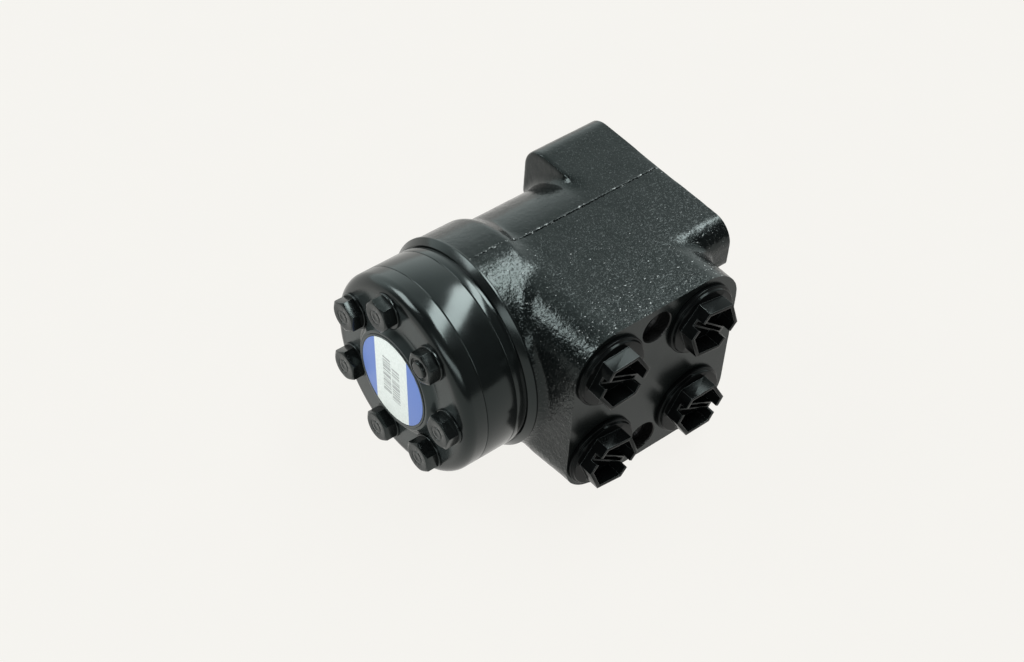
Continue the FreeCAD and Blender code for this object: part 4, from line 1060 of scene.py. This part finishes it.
for k in range(6):
    o = box("timing", (-99.5, 12.0, -1.2), (-77.5, 14.0, 1.2))
    o.data.transform(Matrix.Rotation(math.radians(60.0 * k + 15.0), 4, "X"))
    cut_spool.append(o)
o = merged("timings", cut_spool)
o.data.materials.append(MAT_GROUND)
apply_boolean(spool, o, "DIFFERENCE")
finish_shading(spool, 30)
own(spool, "spool_body", "ground_steel", "control_spool")

# ------------------------------------------------------------------ finishes of the carried-over inner pieces
FINISH = {
    "shaft_seal": MAT_SEAL, "shaft_seal_o_ring": MAT_RUBBER, "bearing_outer_race": MAT_BEARING, "thrust_cage": MAT_BEARING,
    "needle_rollers": MAT_BEARING, "bearing_inner_race": MAT_BEARING, "control_sleeve": MAT_GROUND, "spring_ring": MAT_SPRING,
    "cross_pin": MAT_GROUND, "leaf_springs_flat": MAT_SPRING, "leaf_springs_curved": MAT_SPRING, "gear_rotor": MAT_GROUND,
    "cardan_shaft": MAT_GROUND, "cardan_spacer": MAT_TURNED, "housing_o_ring": MAT_RUBBER, "gear_ring_front_o_ring": MAT_RUBBER,
    "gear_ring_rear_o_ring": MAT_RUBBER, "thread_bushing": MAT_TURNED, "check_ball": MAT_BEARING, "rolled_pin": MAT_SPRING,
    "plug_o_rings": MAT_RUBBER,
}
for name, mat in FINISH.items():
    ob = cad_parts[name]
    if not ob.material_slots:
        ob.data.materials.append(mat)
    for s in ob.material_slots:
        s.link = "OBJECT"
        s.material = mat

# ------------------------------------------------------------------ floor and light
scene = bpy.context.scene
scene.view_settings.view_transform = "Standard"
scene.view_settings.look = "None"
scene.view_settings.exposure = 0.0
scene.view_settings.gamma = 1.0

FLOOR_Z = -48.2
m, nt, b = new_material("floor_pale")
v = coords(nt)
n = noise_node(nt, v, 40.0, 3.0, 0.5)
col = ramp(nt, n, [(0.3, (0.019, 0.019, 0.019)), (0.7, (0.021, 0.021, 0.020))])
nt.links.new(col, b.inputs["Base Color"])
b.inputs["Roughness"].default_value = 0.9
b.inputs["Specular IOR Level"].default_value = 0.0
b.inputs["Emission Color"].default_value = (0.913, 0.898, 0.862, 1.0)
b.inputs["Emission Strength"].default_value = 0.965
me = bpy.data.meshes.new("floor")
me.from_pydata([(-4, -4, FLOOR_Z * MM), (4, -4, FLOOR_Z * MM), (4, 4, FLOOR_Z * MM), (-4, 4, FLOOR_Z * MM)], [], [(0, 1, 2, 3)])
floor = bpy.data.objects.new("floor", me)
me.materials.append(m)
scene.collection.objects.link(floor)

# pale backdrop beyond the part, dark room to the right of it and on the near side
BACK = Vector((0.631, 0.776, 0.0))
SIDE = Vector((0.776, -0.631, 0.0))
world = bpy.data.worlds.new("studio")
scene.world = world
world.use_nodes = True
nt = world.node_tree
bg = nt.nodes["Background"]
tc = nt.nodes.new("ShaderNodeTexCoord")
sky = separate(nt, tc.outputs["Generated"])
deep = math_node(nt, "MULTIPLY_ADD", sky[0], BACK.x, math_node(nt, "MULTIPLY", sky[1], BACK.y))
wall = nt.nodes.new("ShaderNodeMapRange")
wall.interpolation_type = "SMOOTHSTEP"
wall.inputs["From Min"].default_value = -0.02
wall.inputs["From Max"].default_value = 0.50
wall.inputs["To Min"].default_value = 0.09
wall.inputs["To Max"].default_value = 1.60
nt.links.new(deep, wall.inputs["Value"])
fall = nt.nodes.new("ShaderNodeMapRange")
fall.interpolation_type = "SMOOTHSTEP"
fall.inputs["From Min"].default_value = 0.3
fall.inputs["From Max"].default_value = 0.9
fall.inputs["To Min"].default_value = 1.0
fall.inputs["To Max"].default_value = 0.55
nt.links.new(sky[2], fall.inputs["Value"])
nt.links.new(math_node(nt, "MULTIPLY", wall.outputs[0], fall.outputs[0]), bg.inputs[1])
bg.inputs[0].default_value = (0.91, 1.0, 0.985, 1.0)

AIM = Vector((-70.0, -10.0, 0.0)) * MM


def soft_box(name, side, back, up, distance, size, radiance, colour=(0.97, 1.0, 1.0), aim=AIM):
    """Area light seen from the part in the direction side, back, up; its width runs sideways."""
    dirn = (SIDE * side + BACK * back + Vector((0, 0, up))).normalized()
    d = bpy.data.lights.new(name, "AREA")
    d.shape = "RECTANGLE"
    d.size, d.size_y = size
    d.energy = radiance * math.pi * size[0] * size[1]
    d.color = colour
    o = bpy.data.objects.new(name, d)
    scene.collection.objects.link(o)
    o.location = aim + dirn * distance
    z = dirn
    x = (SIDE - z * SIDE.dot(z)).normalized()
    if abs(side) > 0.6:
        x = (BACK - z * BACK.dot(z)).normalized()
    y = z.cross(x)
    o.matrix_world = Matrix.Translation(o.location) @ Matrix((x, y, z)).transposed().to_4x4()
    return o


soft_box("light_over", 0.31, 0.22, 0.90, 1.2, (0.34, 1.00), 14.5)
soft_box("light_left", -0.75, 0.10, 0.65, 1.2, (0.60, 0.50), 10.5)
soft_box("light_near", -0.1, -0.85, 0.47, 1.3, (1.60, 0.34), 4.2)
